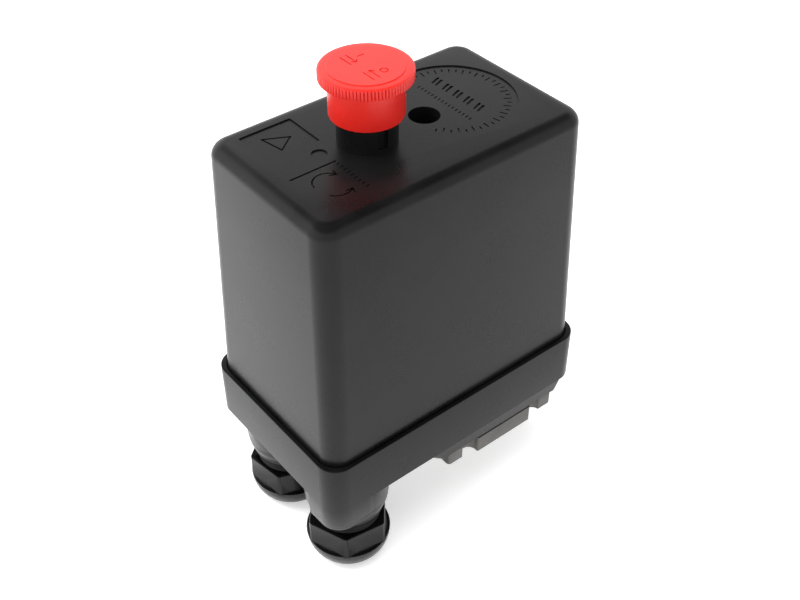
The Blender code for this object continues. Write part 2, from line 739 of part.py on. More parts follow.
def cover_screw():
    seat = TUBE_BOTTOM + TUBE_FLOOR + GAP
    tip = post_well_bottom() + 1 * MM
    head_radius = COVER_HOLE_RADIUS - 2 * GAP
    slotted_screw("cover_screw", COVER_SCREW_RADIUS, head_radius, tip, seat, 2.6 * MM, SCREW_X, 0.0)


def post_top():
    return TUBE_BOTTOM - GAP


def post_well_bottom():
    """The bottom of the tapped well: a full grip down the post, unless that would reach its foot."""
    return max(post_top() - COVER_SCREW_GRIP, FRAME_TOP + GAP + POST_FOOT)


def cover_post():
    """The tapped post on the frame that the cover screw runs into."""
    low = FRAME_TOP + GAP
    post = cylinder("cover_post", POST_RADIUS, low, post_top(), SCREW_X, 0.0, 6)
    well = cylinder(
        "post well",
        COVER_SCREW_RADIUS + GAP,
        post_well_bottom(),
        post_top() + 1 * MM,
        SCREW_X,
        0.0,
        SMALL_ROUND,
    )
    cut(post, well)
    finish(post, STEEL)


def gland(side, y):
    """A gland nut, hexagonal over a round domed flange, with the rubber seal and the pressure ring inside."""
    corner = NUT_ACROSS_FLATS / math.sqrt(3)
    waist = NUT_Z_TOP - NUT_HEIGHT * 0.5
    mouth = CABLE_RADIUS + 0.8 * MM
    nut = cylinder(f"gland_nut_{side}", corner, waist - 0.5 * MM, NUT_Z_TOP, GLAND_X, y, 6)
    turn = Matrix.Rotation(NUT_ANGLE[side], 4, "Z") @ Matrix.Rotation(math.radians(30), 4, "Z")
    centre = Matrix.Translation((GLAND_X, y, 0.0))
    nut.data.transform(centre @ turn @ centre.inverted())
    clip_radius = NUT_FLANGE_RADIUS - 0.15 * MM
    clipped = cylinder(f"{side} nut corners", clip_radius, NUT_Z_BOTTOM, NUT_Z_TOP + 1 * MM, GLAND_X, y)
    boolean(nut, "INTERSECT", [clipped])
    steps = 5
    dome = []
    for index in range(steps + 1):
        angle = math.pi / 2 * index / steps
        radius = mouth + (NUT_FLANGE_RADIUS - mouth) * math.cos(angle)
        height = waist - (waist - NUT_Z_BOTTOM) * math.sin(angle)
        dome.append((radius, height))
    shoulder = [(0.0, waist + NUT_SHOULDER), (NUT_ACROSS_FLATS / 2 - 0.2 * MM, waist + NUT_SHOULDER)]
    flange = turned(f"{side} nut flange", [*shoulder, *dome, (0.0, NUT_Z_BOTTOM)], GLAND_X, y, 32)
    join(nut, flange)
    cap_top = NUT_Z_BOTTOM + NUT_CAP
    thread = cylinder(f"{side} nut thread", THREAD_RADIUS + GAP, cap_top, NUT_Z_TOP + 1 * MM, GLAND_X, y)
    hole = cylinder(f"{side} nut hole", CABLE_RADIUS, NUT_Z_BOTTOM - 1 * MM, cap_top + 1 * MM, GLAND_X, y)
    cut(nut, thread, hole)
    finish(nut, GLAND_BLACK, (GLAND_X, y, 0.0))
    seal_low = cap_top + GAP
    seal_high = seal_low + SEAL_THICKNESS
    seal_outer = THREAD_RADIUS - GAP / 2
    seal_inner = CABLE_RADIUS - 0.6 * MM
    seal = turned(
        f"gland_seal_{side}",
        [(seal_outer, seal_high), (seal_outer, seal_low), (seal_inner, seal_low), (seal_inner, seal_high)],
        GLAND_X,
        y,
        24,
    )
    finish(seal, RUBBER)
    ring_low = seal_high + GAP
    ring_high = min(ring_low + RING_THICKNESS, THREAD_BOTTOM - GAP)
    ring_inner = CABLE_RADIUS
    ring = turned(
        f"gland_ring_{side}",
        [(seal_outer, ring_high), (seal_outer, ring_low), (ring_inner, ring_low), (ring_inner, ring_high)],
        GLAND_X,
        y,
        24,
    )
    finish(ring, STEEL)


def pressure_flange():
    """The cast flange: scalloped plate, side blocks, port boss, chamber recess and screw holes."""
    plate = box(
        "pressure_flange",
        (-FLANGE_HALF_X, -FLANGE_HALF_Y, FLANGE_BOTTOM),
        (FLANGE_HALF_X, FLANGE_HALF_Y, FLANGE_TOP),
        0.6 * MM,
    )
    half_block = FLANGE_BLOCK_LENGTH / 2
    reach = FLANGE_HALF_Y + FLANGE_BLOCK_REACH
    block = box(
        "flange blocks",
        (-half_block, -reach, FLANGE_BOTTOM),
        (half_block, reach, FLANGE_TOP - FLANGE_BLOCK_DROP),
        0.4 * MM,
    )
    scallops = []
    for x in (-half_block - SCALLOP_RADIUS, half_block + SCALLOP_RADIUS):
        for y in (-FLANGE_HALF_Y - 0.2 * MM, FLANGE_HALF_Y + 0.2 * MM):
            name = f"scallop {len(scallops)}"
            low, high = FLANGE_BOTTOM - 1 * MM, FLANGE_TOP + 1 * MM
            scallops.append(cylinder(name, SCALLOP_RADIUS, low, high, x, y, SMALL_ROUND))
    boss = cylinder("port boss", PORT_RADIUS, 0.0, FLANGE_BOTTOM + 2 * MM, sides=WIDE_ROUND)
    bore = turned(
        "port bore",
        [
            (0.0, FLANGE_TOP + 1 * MM),
            (CHAMBER_RADIUS, FLANGE_TOP + 1 * MM),
            (CHAMBER_RADIUS, FLANGE_TOP - CHAMBER_DEPTH),
            (PORT_PASSAGE, FLANGE_TOP - CHAMBER_DEPTH),
            (PORT_PASSAGE, PORT_BORE_DEPTH),
            (PORT_BORE, PORT_BORE_DEPTH),
            (PORT_BORE, -1 * MM),
            (0.0, -1 * MM),
        ],
    )
    join(plate, block, boss)
    cut(plate, bore, *scallops)
    for index, (x, y) in enumerate(flange_screw_places()):
        low = FLANGE_BOTTOM - 1 * MM
        drill(plate, f"lug hole {index}", FLANGE_SCREW_RADIUS + GAP, low, FLANGE_TOP + 1 * MM, x, y)
        seat = FLANGE_BOTTOM + LUG_SCREW_SINK
        drill(plate, f"lug recess {index}", FLANGE_HEAD_RADIUS + GAP, low, seat, x, y)
    return finish(plate, CAST)


def pressure_side():
    for index, (x, y) in enumerate(flange_screw_places(), 1):
        tip = PEDESTAL_BOTTOM + FLANGE_SCREW_BITE - 0.5 * MM
        seat = FLANGE_BOTTOM + LUG_SCREW_SINK - GAP
        name = f"flange_screw_{index}"
        slotted_screw(name, FLANGE_SCREW_RADIUS, FLANGE_HEAD_RADIUS, tip, seat, FLANGE_HEAD, x, y, -1)
    top = PEDESTAL_BOTTOM + DIAPHRAGM_THICKNESS
    diaphragm = cylinder("diaphragm", DIAPHRAGM_RADIUS, PEDESTAL_BOTTOM, top, sides=WIDE_ROUND)
    finish(diaphragm, RUBBER)
    stem_top = ROCKER_BOTTOM - GAP
    piston = turned(
        "piston",
        [
            (0.0, stem_top),
            (STEM_TIP_RADIUS, stem_top),
            (STEM_RADIUS, stem_top - 2 * MM),
            (STEM_RADIUS, PISTON_TOP),
            (PISTON_RADIUS, PISTON_TOP),
            (PISTON_RADIUS, PISTON_BOTTOM),
            (0.0, PISTON_BOTTOM),
        ],
        sides=WIDE_ROUND,
    )
    finish(piston, CAST)


def frame_bracket():
    """A sheet-metal frame: a foot plate, two uprights and a top plate."""
    foot = box(
        "frame_bracket",
        (-FRAME_BACK - FRAME_FOOT, -FRAME_HALF_WIDTH, FRAME_BOTTOM),
        (FRAME_FRONT + FRAME_FOOT, FRAME_HALF_WIDTH, FRAME_BOTTOM + SHEET),
    )
    top = box(
        "frame top",
        (-FRAME_BACK, -FRAME_HALF_WIDTH, FRAME_TOP - SHEET),
        (FRAME_FRONT, FRAME_HALF_WIDTH, FRAME_TOP),
    )
    uprights = []
    for side, sign in SIDES:
        low, high = sorted((sign * FRAME_HALF_WIDTH, sign * (FRAME_HALF_WIDTH - SHEET)))
        upright_top = FRAME_TOP - SHEET / 2
        upright = box(f"{side} upright", (-FRAME_BACK, low, FRAME_BOTTOM), (FRAME_FRONT, high, upright_top))
        window = box(
            f"{side} window",
            (-4 * MM, low - 1 * MM, PIVOT_Z + 6 * MM),
            (FRAME_FRONT - 4 * MM, high + 1 * MM, FRAME_TOP - 8 * MM),
        )
        uprights.append(cut(upright, window))
    join(foot, top, *uprights)
    wide = FRAME_HALF_WIDTH + 1 * MM
    pin_hole = cylinder("pin hole", PIN_RADIUS + GAP, -wide, wide, PIVOT_X, PIVOT_Z, SMALL_ROUND, axis="Y")
    stem_hole = cylinder("stem hole", STEM_RADIUS + GAP, FLOOR_TOP, FRAME_BOTTOM + 3 * MM, sides=SMALL_ROUND)
    high = FRAME_TOP + 1 * MM
    low = FRAME_TOP - SHEET - 1 * MM
    range_hole = cylinder("range hole", RANGE_SCREW_RADIUS + GAP, low, high, sides=SMALL_ROUND)
    small_hole = cylinder(
        "small hole", SMALL_SCREW_RADIUS + GAP, low, high, SMALL_SPRING_X, SMALL_SPRING_Y, SMALL_ROUND
    )
    cut(foot, pin_hole, stem_hole, range_hole, small_hole)
    for index, (x, y) in enumerate(frame_screw_places() + [earth_place()]):
        drill(foot, f"foot hole {index}", SCREW_RADIUS + GAP, FLOOR_TOP, FRAME_BOTTOM + SHEET + 1 * MM, x, y)
    finish(foot, STEEL)
    pin = cylinder(
        "pivot_pin", PIN_RADIUS, -FRAME_HALF_WIDTH - 1.2 * MM, FRAME_HALF_WIDTH + 1.2 * MM, PIVOT_X, PIVOT_Z,
        SMALL_ROUND, axis="Y",
    )
    finish(pin, SCREW_STEEL)
    tip = FLOOR_TOP - SCREW_DEPTH + GAP
    seat = FRAME_BOTTOM + SHEET + GAP
    for index, (x, y) in enumerate(frame_screw_places(), 1):
        slotted_screw(f"frame_screw_{index}", SCREW_RADIUS, HEAD_RADIUS, tip, seat, HEAD_HEIGHT, x, y)
    x, y = earth_place()
    slotted_screw("earth_screw", SCREW_RADIUS, HEAD_RADIUS, tip, seat, HEAD_HEIGHT, x, y, surface=BRASS)


def eye(name, low, high, radius=None):
    return cylinder(name, radius or EYE_RADIUS, low, high, PIVOT_X, PIVOT_Z, SMALL_ROUND, axis="Y")


def pin_bore(name):
    wide = FRAME_HALF_WIDTH + 2 * MM
    return cylinder(name, PIN_RADIUS + GAP, -wide, wide, PIVOT_X, PIVOT_Z, SMALL_ROUND, axis="Y")


def rocker():
    """The lever that the piston lifts: a plate with an eye at each side of the carrier's hub."""
    pivot = (PIVOT_X, 0.0, PIVOT_Z)
    inner = CARRIER_HUB + GAP
    outer = inner + ROCKER_EYE
    plate_back = PIVOT_X + EYE_RADIUS + 1 * MM
    wide = FRAME_HALF_WIDTH - SHEET - 1 * MM
    plate = box("rocker", (plate_back, -wide, ROCKER_BOTTOM), (ROCKER_REACH, wide, ROCKER_TOP))
    for side, sign in SIDES:
        low, high = sorted((sign * inner, sign * outer))
        arm_front = plate_back + 1 * MM
        arm = box(f"{side} rocker arm", (PIVOT_X, low, ROCKER_BOTTOM), (arm_front, high, ROCKER_TOP))
        join(plate, arm, eye(f"{side} rocker eye", low, high))
    cut(plate, pin_bore("rocker bore"))
    finish(plate, STEEL, pivot)
    low = ROCKER_TOP + GAP
    rim = MAIN_SPRING_RADIUS + MAIN_WIRE + 0.3 * MM
    seat = turned(
        "spring_seat",
        [
            (0.0, SEAT_TOP),
            (rim, SEAT_TOP),
            (rim, low),
            (0.0, low),
        ],
        0.0,
        0.0,
        24,
    )
    finish(seat, STEEL, pivot)


def trip_lever():
    """A stirrup on the same pin: two side arms, a cross plate under the knob's shaft and a lug."""
    inner = TRIP_SIDE_INNER
    outer = inner + SHEET
    back = KNOB_X - 4 * MM
    front = KNOB_X + 4 * MM
    half_plate = outer - STEP
    plate = box("trip_lever", (back, -half_plate, TRIP_PLATE_BOTTOM), (front, half_plate, TRIP_PLATE_TOP))
    half_riser = EYE_RADIUS - 0.7 * MM
    arm_top = TRIP_PLATE_TOP - STEP
    for side, sign in SIDES:
        low, high = sorted((sign * inner, sign * outer))
        riser = box(
            f"{side} riser",
            (PIVOT_X - half_riser, low + STEP, PIVOT_Z),
            (PIVOT_X + half_riser, high - STEP, arm_top - STEP),
        )
        arm = box(
            f"{side} trip arm",
            (back + STEP, low, TRIP_PLATE_BOTTOM - 3 * MM),
            (PIVOT_X + half_riser + STEP, high, arm_top),
        )
        join(plate, arm, riser, eye(f"{side} trip eye", low - STEP, high + STEP))
    lug = box(
        "trip lug",
        (KNOB_X - 1.2 * MM, -TRIP_LUG, PIVOT_Z + ROCKER_THICKNESS + GAP),
        (KNOB_X + 1.2 * MM, TRIP_LUG, TRIP_PLATE_BOTTOM + 1 * MM),
    )
    join(plate, lug)
    cut(plate, pin_bore("trip bore"))
    finish(plate, STEEL, (PIVOT_X, 0.0, PIVOT_Z))


def contact_carrier():
    """The insulating crossbar with its arm and hub on the pin, and the two sprung bridges on it."""
    pivot = (PIVOT_X, 0.0, PIVOT_Z)
    bar_front = STRIP_FRONT
    bar = box(
        "contact_carrier", (-BAR_BACK, -BAR_HALF_WIDTH, BAR_BOTTOM), (-bar_front, BAR_HALF_WIDTH, BAR_TOP)
    )
    neck_half = CARRIER_HUB - 1.5 * MM
    arm_bottom = PIVOT_Z - 2.4 * MM
    arm_top = PIVOT_Z + ROCKER_THICKNESS
    neck = box("carrier neck", (-BAR_BACK, -neck_half, BAR_BOTTOM), (-bar_front, neck_half, arm_top))
    arm = box("carrier arm", (-BAR_BACK, -neck_half, arm_bottom), (PIVOT_X, neck_half, arm_top))
    hub = eye("carrier hub", -CARRIER_HUB, CARRIER_HUB)
    join(bar, neck, arm, hub)
    cut(bar, pin_bore("carrier bore"))
    finish(bar, CARRIER_PLASTIC, pivot)
    bar_middle = -(BAR_BACK + bar_front) / 2
    for side, sign in SIDES:
        y = sign * POLE_CENTRE
        low_y, high_y = y - BRIDGE_HALF_LENGTH, y + BRIDGE_HALF_LENGTH
        bridge = box(
            f"contact_bridge_{side}",
            (-BAR_BACK + 0.8 * MM, low_y, BRIDGE_BOTTOM),
            (-bar_front - 0.8 * MM, high_y, BRIDGE_TOP),
        )
        finish(bridge, BRASS, pivot)
        spring = coil(
            f"contact_spring_{side}",
            CONTACT_SPRING_RADIUS,
            CONTACT_WIRE,
            BAR_TOP + GAP,
            BRIDGE_BOTTOM - GAP,
            3,
            bar_middle,
            y,
        )
        finish(spring, SPRING_STEEL)


def adjusters():
    """The range and differential adjusters: spring, nut and screw on each axis."""
    main_sizes = (RANGE_NUT_RADIUS, RANGE_SCREW_RADIUS, RANGE_HEAD_RADIUS)
    small_sizes = (SMALL_NUT_RADIUS, SMALL_SCREW_RADIUS, SMALL_HEAD_RADIUS)
    axes = (("range", 0.0, 0.0, main_sizes), ("differential", SMALL_SPRING_X, SMALL_SPRING_Y, small_sizes))
    screw_tip = SEAT_TOP + 5 * MM
    for name, x, y, (nut_radius, screw_radius, head_radius) in axes:
        nut = cylinder(f"{name}_nut", nut_radius, RANGE_NUT_BOTTOM, NUT_TOP, x, y, 6)
        drill(nut, f"{name} nut bore", screw_radius + GAP, RANGE_NUT_BOTTOM - 1 * MM, FRAME_TOP, x, y)
        finish(nut, STEEL, (x, y, 0.0))
        slotted_screw(
            f"{name}_screw", screw_radius, head_radius, screw_tip, FRAME_TOP + GAP, ADJUSTER_HEAD, x, y,
            origin=(x, y, 0.0),
        )
    top = RANGE_NUT_BOTTOM - GAP
    main = coil("main_spring", MAIN_SPRING_RADIUS, MAIN_WIRE, SEAT_TOP + GAP, top, MAIN_TURNS, 0.0, 0.0)
    finish(main, SPRING_STEEL)
    small = coil(
        "differential_spring", SMALL_SPRING_RADIUS, SMALL_WIRE, ROCKER_TOP + GAP, top, SMALL_TURNS,
        SMALL_SPRING_X, SMALL_SPRING_Y,
    )
    finish(small, SPRING_STEEL)


def terminal_places():
    places = []
    for _, sign in SIDES:
        for step in (-1, 1):
            places.append((-TERMINAL_X, sign * (POLE_CENTRE + step * POLE_HALF_PITCH)))
    return places


def terminals():
    """The terminal block with its two fixing screws, the four fixed contacts and their clamp screws."""
    block = box(
        "terminal_block",
        (-BLOCK_BACK, -BLOCK_HALF_WIDTH, FLOOR_TOP + GAP),
        (-BLOCK_FRONT, BLOCK_HALF_WIDTH, BLOCK_TOP),
    )
    well_bottom = BLOCK_TOP - 8 * MM
    for index, (x, y) in enumerate(block_screw_places()):
        top = BLOCK_TOP + 1 * MM
        drill(block, f"block well {index}", HEAD_RADIUS + GAP, well_bottom, top, x, y)
        low = FLOOR_TOP - 1 * MM
        drill(block, f"block hole {index}", SCREW_RADIUS + GAP, low, well_bottom + 1 * MM, x, y)
    screw_tip = BLOCK_TOP - TERMINAL_SCREW_DEPTH
    for index, (x, y) in enumerate(terminal_places()):
        low = screw_tip - 1 * MM
        drill(block, f"terminal hole {index}", SCREW_RADIUS + GAP, low, BLOCK_TOP + 1 * MM, x, y)
    half_slot = CARRIER_HUB - 1 * MM
    slot = box(
        "carrier slot",
        (-BLOCK_BACK + 4 * MM, -half_slot, BAR_BOTTOM),
        (-BLOCK_FRONT + 1 * MM, half_slot, BLOCK_TOP + 1 * MM),
    )
    cut(block, slot)
    finish(block, BLOCK_PLASTIC)
    for index, (x, y) in enumerate(block_screw_places(), 1):
        tip = FLOOR_TOP - SCREW_DEPTH + GAP
        seat = well_bottom + GAP
        slotted_screw(f"block_screw_{index}", SCREW_RADIUS, HEAD_RADIUS, tip, seat, HEAD_HEIGHT, x, y)
    for index, (x, y) in enumerate(terminal_places(), 1):
        strip = box(
            f"fixed_contact_{index}",
            (-TERMINAL_X - 2.6 * MM, y - STRIP_HALF_WIDTH, STRIP_BOTTOM),
            (-STRIP_FRONT, y + STRIP_HALF_WIDTH, STRIP_BOTTOM + STRIP_THICKNESS),
        )
        low, high = STRIP_BOTTOM - 1 * MM, STRIP_BOTTOM + STRIP_THICKNESS + 1 * MM
        drill(strip, f"strip hole {index}", SCREW_RADIUS + GAP / 2, low, high, x, y)
        finish(strip, BRASS)
        seat = STRIP_BOTTOM + STRIP_THICKNESS + GAP
        name = f"terminal_screw_{index}"
        slotted_screw(name, SCREW_RADIUS - GAP, TERMINAL_HEAD_RADIUS, screw_tip, seat, HEAD_HEIGHT, x, y)


base()
cover()
knob_pieces()
cover_screw()
cover_post()
for gland_side, gland_y in GLAND_Y.items():
    gland(gland_side, gland_y)
pressure_flange()
pressure_side()
frame_bracket()
rocker()
trip_lever()
contact_carrier()
adjusters()
terminals()
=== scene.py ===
"""Looks for the pressure switch: a fine housing, knob, glands, flange, springs and screws on its frame."""

import math

import bmesh
import bpy
from mathutils import Matrix, Vector


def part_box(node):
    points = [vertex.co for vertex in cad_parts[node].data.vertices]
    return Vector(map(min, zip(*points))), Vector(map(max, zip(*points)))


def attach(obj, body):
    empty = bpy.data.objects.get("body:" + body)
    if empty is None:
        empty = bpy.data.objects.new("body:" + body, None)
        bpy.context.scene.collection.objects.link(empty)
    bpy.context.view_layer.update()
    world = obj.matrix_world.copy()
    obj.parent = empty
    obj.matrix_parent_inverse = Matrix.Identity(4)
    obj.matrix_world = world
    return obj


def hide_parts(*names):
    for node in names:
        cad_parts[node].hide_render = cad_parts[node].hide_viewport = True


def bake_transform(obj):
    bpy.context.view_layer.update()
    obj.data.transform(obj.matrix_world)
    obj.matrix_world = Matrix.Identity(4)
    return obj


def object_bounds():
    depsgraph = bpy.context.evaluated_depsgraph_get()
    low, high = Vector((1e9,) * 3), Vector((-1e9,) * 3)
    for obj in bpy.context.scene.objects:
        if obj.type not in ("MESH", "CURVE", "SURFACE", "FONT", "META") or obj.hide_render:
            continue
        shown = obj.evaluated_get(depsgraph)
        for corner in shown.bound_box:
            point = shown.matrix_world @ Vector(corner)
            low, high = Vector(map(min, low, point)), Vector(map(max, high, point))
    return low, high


MM = 0.001

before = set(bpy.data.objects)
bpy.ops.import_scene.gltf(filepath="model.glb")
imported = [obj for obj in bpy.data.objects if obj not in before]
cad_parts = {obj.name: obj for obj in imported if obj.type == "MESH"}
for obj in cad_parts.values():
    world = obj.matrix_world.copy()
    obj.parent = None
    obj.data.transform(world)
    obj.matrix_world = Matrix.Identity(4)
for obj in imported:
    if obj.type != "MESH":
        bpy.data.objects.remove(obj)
cad_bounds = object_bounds()

# ---------------------------------------------------------------- places, from the frame's nodes
base_low, base_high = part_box("base")
COVER_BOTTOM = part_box("cover")[0].z
knob_low, knob_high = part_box("knob")
flange_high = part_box("pressure_flange")[1]

HALF_WIDTH = base_high.y
END_X = base_high.x
BACK_X = base_low.x
RIM_Z = base_high.z
SKIRT_HEIGHT = 17.3 * MM
SKIRT_BOTTOM = RIM_Z - SKIRT_HEIGHT
PEDESTAL_BOTTOM = SKIRT_BOTTOM - 5.0 * MM
FLOOR_TOP = SKIRT_BOTTOM + 4.0 * MM
COVER_TOP = RIM_Z + 77.9 * MM
KNOB_X = (knob_low.x + knob_high.x) / 2
SCREW_X = -10.9 * MM
GAP = 0.3 * MM

SKIRT_RADIUS = 6.3 * MM
COVER_RADIUS = 6.0 * MM
COVER_OUTSET = 1.5 * MM
COVER_LEAN = 2.46 * MM
COVER_FILLET = 3.7 * MM
COVER_WALL = 2.2 * MM
RIM_LEDGE = 1.2 * MM
COVER_SEAT = 2.0 * MM
BASE_WALL = 4.2 * MM
RING_CENTRE = (-0.35 * MM, 1.5 * MM)
PAD_RADIUS = 12.6 * MM
CABLE_RADIUS = 6.4 * MM

SIDES = ("front", "rear")
GLAND = {}
for side_name in SIDES:
    ring_low, ring_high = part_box(f"gland_ring_{side_name}")
    GLAND[side_name] = Vector(((ring_low.x + ring_high.x) / 2, (ring_low.y + ring_high.y) / 2, 0.0))
NUT_TURN = {"front": math.radians(-129), "rear": math.radians(-141)}


# ---------------------------------------------------------------- shader maths
class Signal:
    """A shader node's output. Its operators add Math nodes."""

    def __init__(self, surface, socket):
        self.surface = surface
        self.socket = socket

    def _math(self, operation, first, second):
        return self.surface.add("ShaderNodeMath", {"operation": operation}, {0: first, 1: second})

    def __add__(self, other):
        return self._math("ADD", self, other)

    __radd__ = __add__

    def __mul__(self, other):
        return self._math("MULTIPLY", self, other)

    __rmul__ = __mul__

    def __rsub__(self, other):
        return self._math("SUBTRACT", other, self)

    def band(self, low, high, out_low=0.0, out_high=1.0):
        """Its value between low and high, stretched to between out_low and out_high and clamped there."""
        sockets = {"Value": self, "From Min": low, "From Max": high, "To Min": out_low, "To Max": out_high}
        return self.surface.add("ShaderNodeMapRange", {"clamp": True}, sockets)


class Surface:
    """One procedural material round its Principled shader, or the studio's surroundings."""

    def __init__(self, owner, shader="Principled BSDF", **constants):
        self.material = bpy.data.materials.new(owner) if isinstance(owner, str) else owner
        self.material.use_nodes = True
        self.tree = self.material.node_tree
        self.shader = self.tree.nodes[shader]
        for key, value in constants.items():
            self.feed(self.shader.inputs[key.replace("_", " ")], value)

    def feed(self, socket, value):
        if isinstance(value, Signal):
            self.tree.links.new(value.socket, socket)
        elif isinstance(value, (tuple, list)) and len(value) == 3 and socket.type == "RGBA":
            socket.default_value = (*value, 1.0)
        else:
            socket.default_value = value

    def add(self, kind, settings=None, sockets=None, output=0):
        """A node of a kind: its settings first, then the values or links of its sockets."""
        node = self.tree.nodes.new(kind)
        for key, value in (settings or {}).items():
            setattr(node, key, value)
        for key, value in (sockets or {}).items():
            self.feed(node.inputs[key], value)
        return Signal(self, node.outputs[output])

    def places(self, stretch=(1.0, 1.0, 1.0)):
        where = self.add("ShaderNodeTexCoord", output="Object")
        if stretch == (1.0, 1.0, 1.0):
            return where
        return self.add("ShaderNodeVectorMath", {"operation": "MULTIPLY"}, {0: where, 1: stretch})

    def noise(self, scale, detail=2.0, roughness=0.5, stretch=(1.0, 1.0, 1.0)):
        sockets = {"Vector": self.places(stretch), "Scale": scale, "Detail": detail, "Roughness": roughness}
        return self.add("ShaderNodeTexNoise", None, sockets)

    def cells(self, scale, feature="F1"):
        sockets = {"Vector": self.places(), "Scale": scale}
        return self.add("ShaderNodeTexVoronoi", {"feature": feature}, sockets)

    def mix(self, share, first, second):
        """Two colours mixed by a share from 0 to 1."""
        node = self.tree.nodes.new("ShaderNodeMix")
        node.data_type = "RGBA"
        self.feed(node.inputs["Factor"], share)
        self.feed(node.inputs[6], first)
        self.feed(node.inputs[7], second)
        return Signal(self, node.outputs[2])

    def relief(self, height, depth, strength=1.0):
        """Bump of a height signal, depth metres from its 0 to its 1."""
        sockets = {"Height": height, "Distance": depth, "Strength": strength}
        self.feed(self.shader.inputs["Normal"], self.add("ShaderNodeBump", None, sockets))

    def colour(self, value):
        self.feed(self.shader.inputs["Base Color"], value)

    def gloss(self, value):
        self.feed(self.shader.inputs["Roughness"], value)


def moulded(name, dark, light, roughness, grain_scale, grain_depth, scuff=0.05):
    """Moulded plastic: a faint tone change, an eroded grain and scuffs that change its gloss."""
    surface = Surface(name)
    cloud = surface.noise(90.0, 3.0)
    surface.colour(surface.mix(cloud.band(0.35, 0.65), dark, light))
    grain = surface.noise(grain_scale, 2.0, 0.6)
    marks = surface.noise(900.0, 4.0, 0.7, (1.0, 1.0, 0.35)).band(0.55, 0.75)
    surface.gloss(cloud.band(0.3, 0.7, roughness - 0.02, roughness + 0.02) + marks * scuff)
    surface.relief(grain, grain_depth)
    return surface


def housing_plastic():
    dark, light = (0.0045, 0.0045, 0.0048), (0.0065, 0.0065, 0.0068)
    surface = moulded("housing_plastic", dark, light, 0.28, 4200.0, 0.012 * MM)
    surface.feed(surface.shader.inputs["Specular IOR Level"], 0.19)
    return surface.material


def gland_plastic():
    dark, light = (0.003, 0.003, 0.0032), (0.005, 0.005, 0.0053)
    surface = moulded("gland_plastic", dark, light, 0.27, 3000.0, 0.006 * MM)
    surface.feed(surface.shader.inputs["Specular IOR Level"], 0.26)
    return surface.material


def knob_plastic():
    dark, light = (0.62, 0.012, 0.008), (0.68, 0.018, 0.011)
    surface = moulded("knob_plastic", dark, light, 0.36, 3600.0, 0.007 * MM, 0.06)
    surface.feed(surface.shader.inputs["Subsurface Weight"], 0.08)
    surface.feed(surface.shader.inputs["Subsurface Radius"], (1.2 * MM, 0.2 * MM, 0.1 * MM))
    surface.feed(surface.shader.inputs["Subsurface Scale"], 1.0)
    return surface.material


def cast_alloy():
    """Tumbled zinc casting: grey, grainy and a little patchy, brighter where it was rubbed."""
    surface = Surface("cast_alloy")
    cloud = surface.noise(160.0, 5.0, 0.65)
    grain = surface.noise(2600.0, 3.0, 0.7)
    pits = surface.cells(1500.0).band(0.0, 0.25)
    tone = cloud.band(0.3, 0.7) * 0.7 + grain * 0.3
    surface.colour(surface.mix(tone, (0.085, 0.081, 0.075), (0.15, 0.146, 0.138)))
    surface.gloss(cloud.band(0.3, 0.7, 0.46, 0.62))
    surface.feed(surface.shader.inputs["Metallic"], 0.55)
    surface.relief(grain * 0.6 + pits * 0.4, 0.03 * MM)
    return surface.material


def plated_steel(name, dark, light, roughness, stretch):
    """Rolled and plated sheet or turned metal, with fine lines along one direction."""
    surface = Surface(name, Metallic=1.0)
    lines = surface.noise(1200.0, 4.0, 0.6, stretch)
    cloud = surface.noise(120.0, 3.0)
    surface.colour(surface.mix(cloud * 0.6 + lines * 0.4, dark, light))
    surface.gloss(lines.band(0.3, 0.7, roughness - 0.06, roughness + 0.08))
    surface.relief(lines, 0.004 * MM)
    return surface.material


def sealing_rubber():
    surface = moulded("sealing_rubber", (0.012, 0.012, 0.012), (0.022, 0.022, 0.021), 0.72, 1800.0, 0.02 * MM)
    return surface.material


def phenolic():
    """Pressed brown resin with pale specks."""
    surface = Surface("phenolic")
    cloud = surface.noise(220.0, 4.0)
    specks = 1.0 - surface.cells(1400.0).band(0.10, 0.16)
    tone = surface.mix(cloud.band(0.3, 0.7), (0.055, 0.036, 0.026), (0.085, 0.058, 0.042))
    surface.colour(surface.mix(specks * 0.5, tone, (0.22, 0.17, 0.12)))
    surface.gloss(cloud.band(0.3, 0.7, 0.42, 0.52))
    surface.relief(surface.noise(2500.0, 2.0), 0.01 * MM)
    return surface.material


def nylon():
    surface = moulded("carrier_nylon", (0.60, 0.57, 0.49), (0.68, 0.65, 0.57), 0.42, 2600.0, 0.008 * MM)
    surface.feed(surface.shader.inputs["Subsurface Weight"], 0.15)
    surface.feed(surface.shader.inputs["Subsurface Radius"], (1.0 * MM, 0.8 * MM, 0.5 * MM))
    surface.feed(surface.shader.inputs["Subsurface Scale"], 1.0)
    return surface.material


HOUSING = housing_plastic()
GLAND_PLASTIC = gland_plastic()
RED = knob_plastic()
CAST = cast_alloy()
RUBBER = sealing_rubber()
PHENOLIC = phenolic()
NYLON = nylon()
SHEET_STEEL = plated_steel("sheet_steel", (0.50, 0.49, 0.44), (0.66, 0.64, 0.57), 0.34, (0.08, 1.0, 1.0))
SCREW_STEEL = plated_steel("screw_steel", (0.52, 0.52, 0.50), (0.70, 0.70, 0.68), 0.26, (1.0, 1.0, 0.1))
WIRE_STEEL = plated_steel("wire_steel", (0.40, 0.40, 0.42), (0.55, 0.55, 0.58), 0.24, (1.0, 1.0, 0.2))
BRASS = plated_steel("contact_brass", (0.56, 0.38, 0.13), (0.74, 0.54, 0.22), 0.28, (0.1, 1.0, 1.0))


# ---------------------------------------------------------------- shapes
def polar(x, y, radius, angle):
    """The place at a radius and an angle round (x, y), in plan."""
    return x + radius * math.cos(angle), y + radius * math.sin(angle)


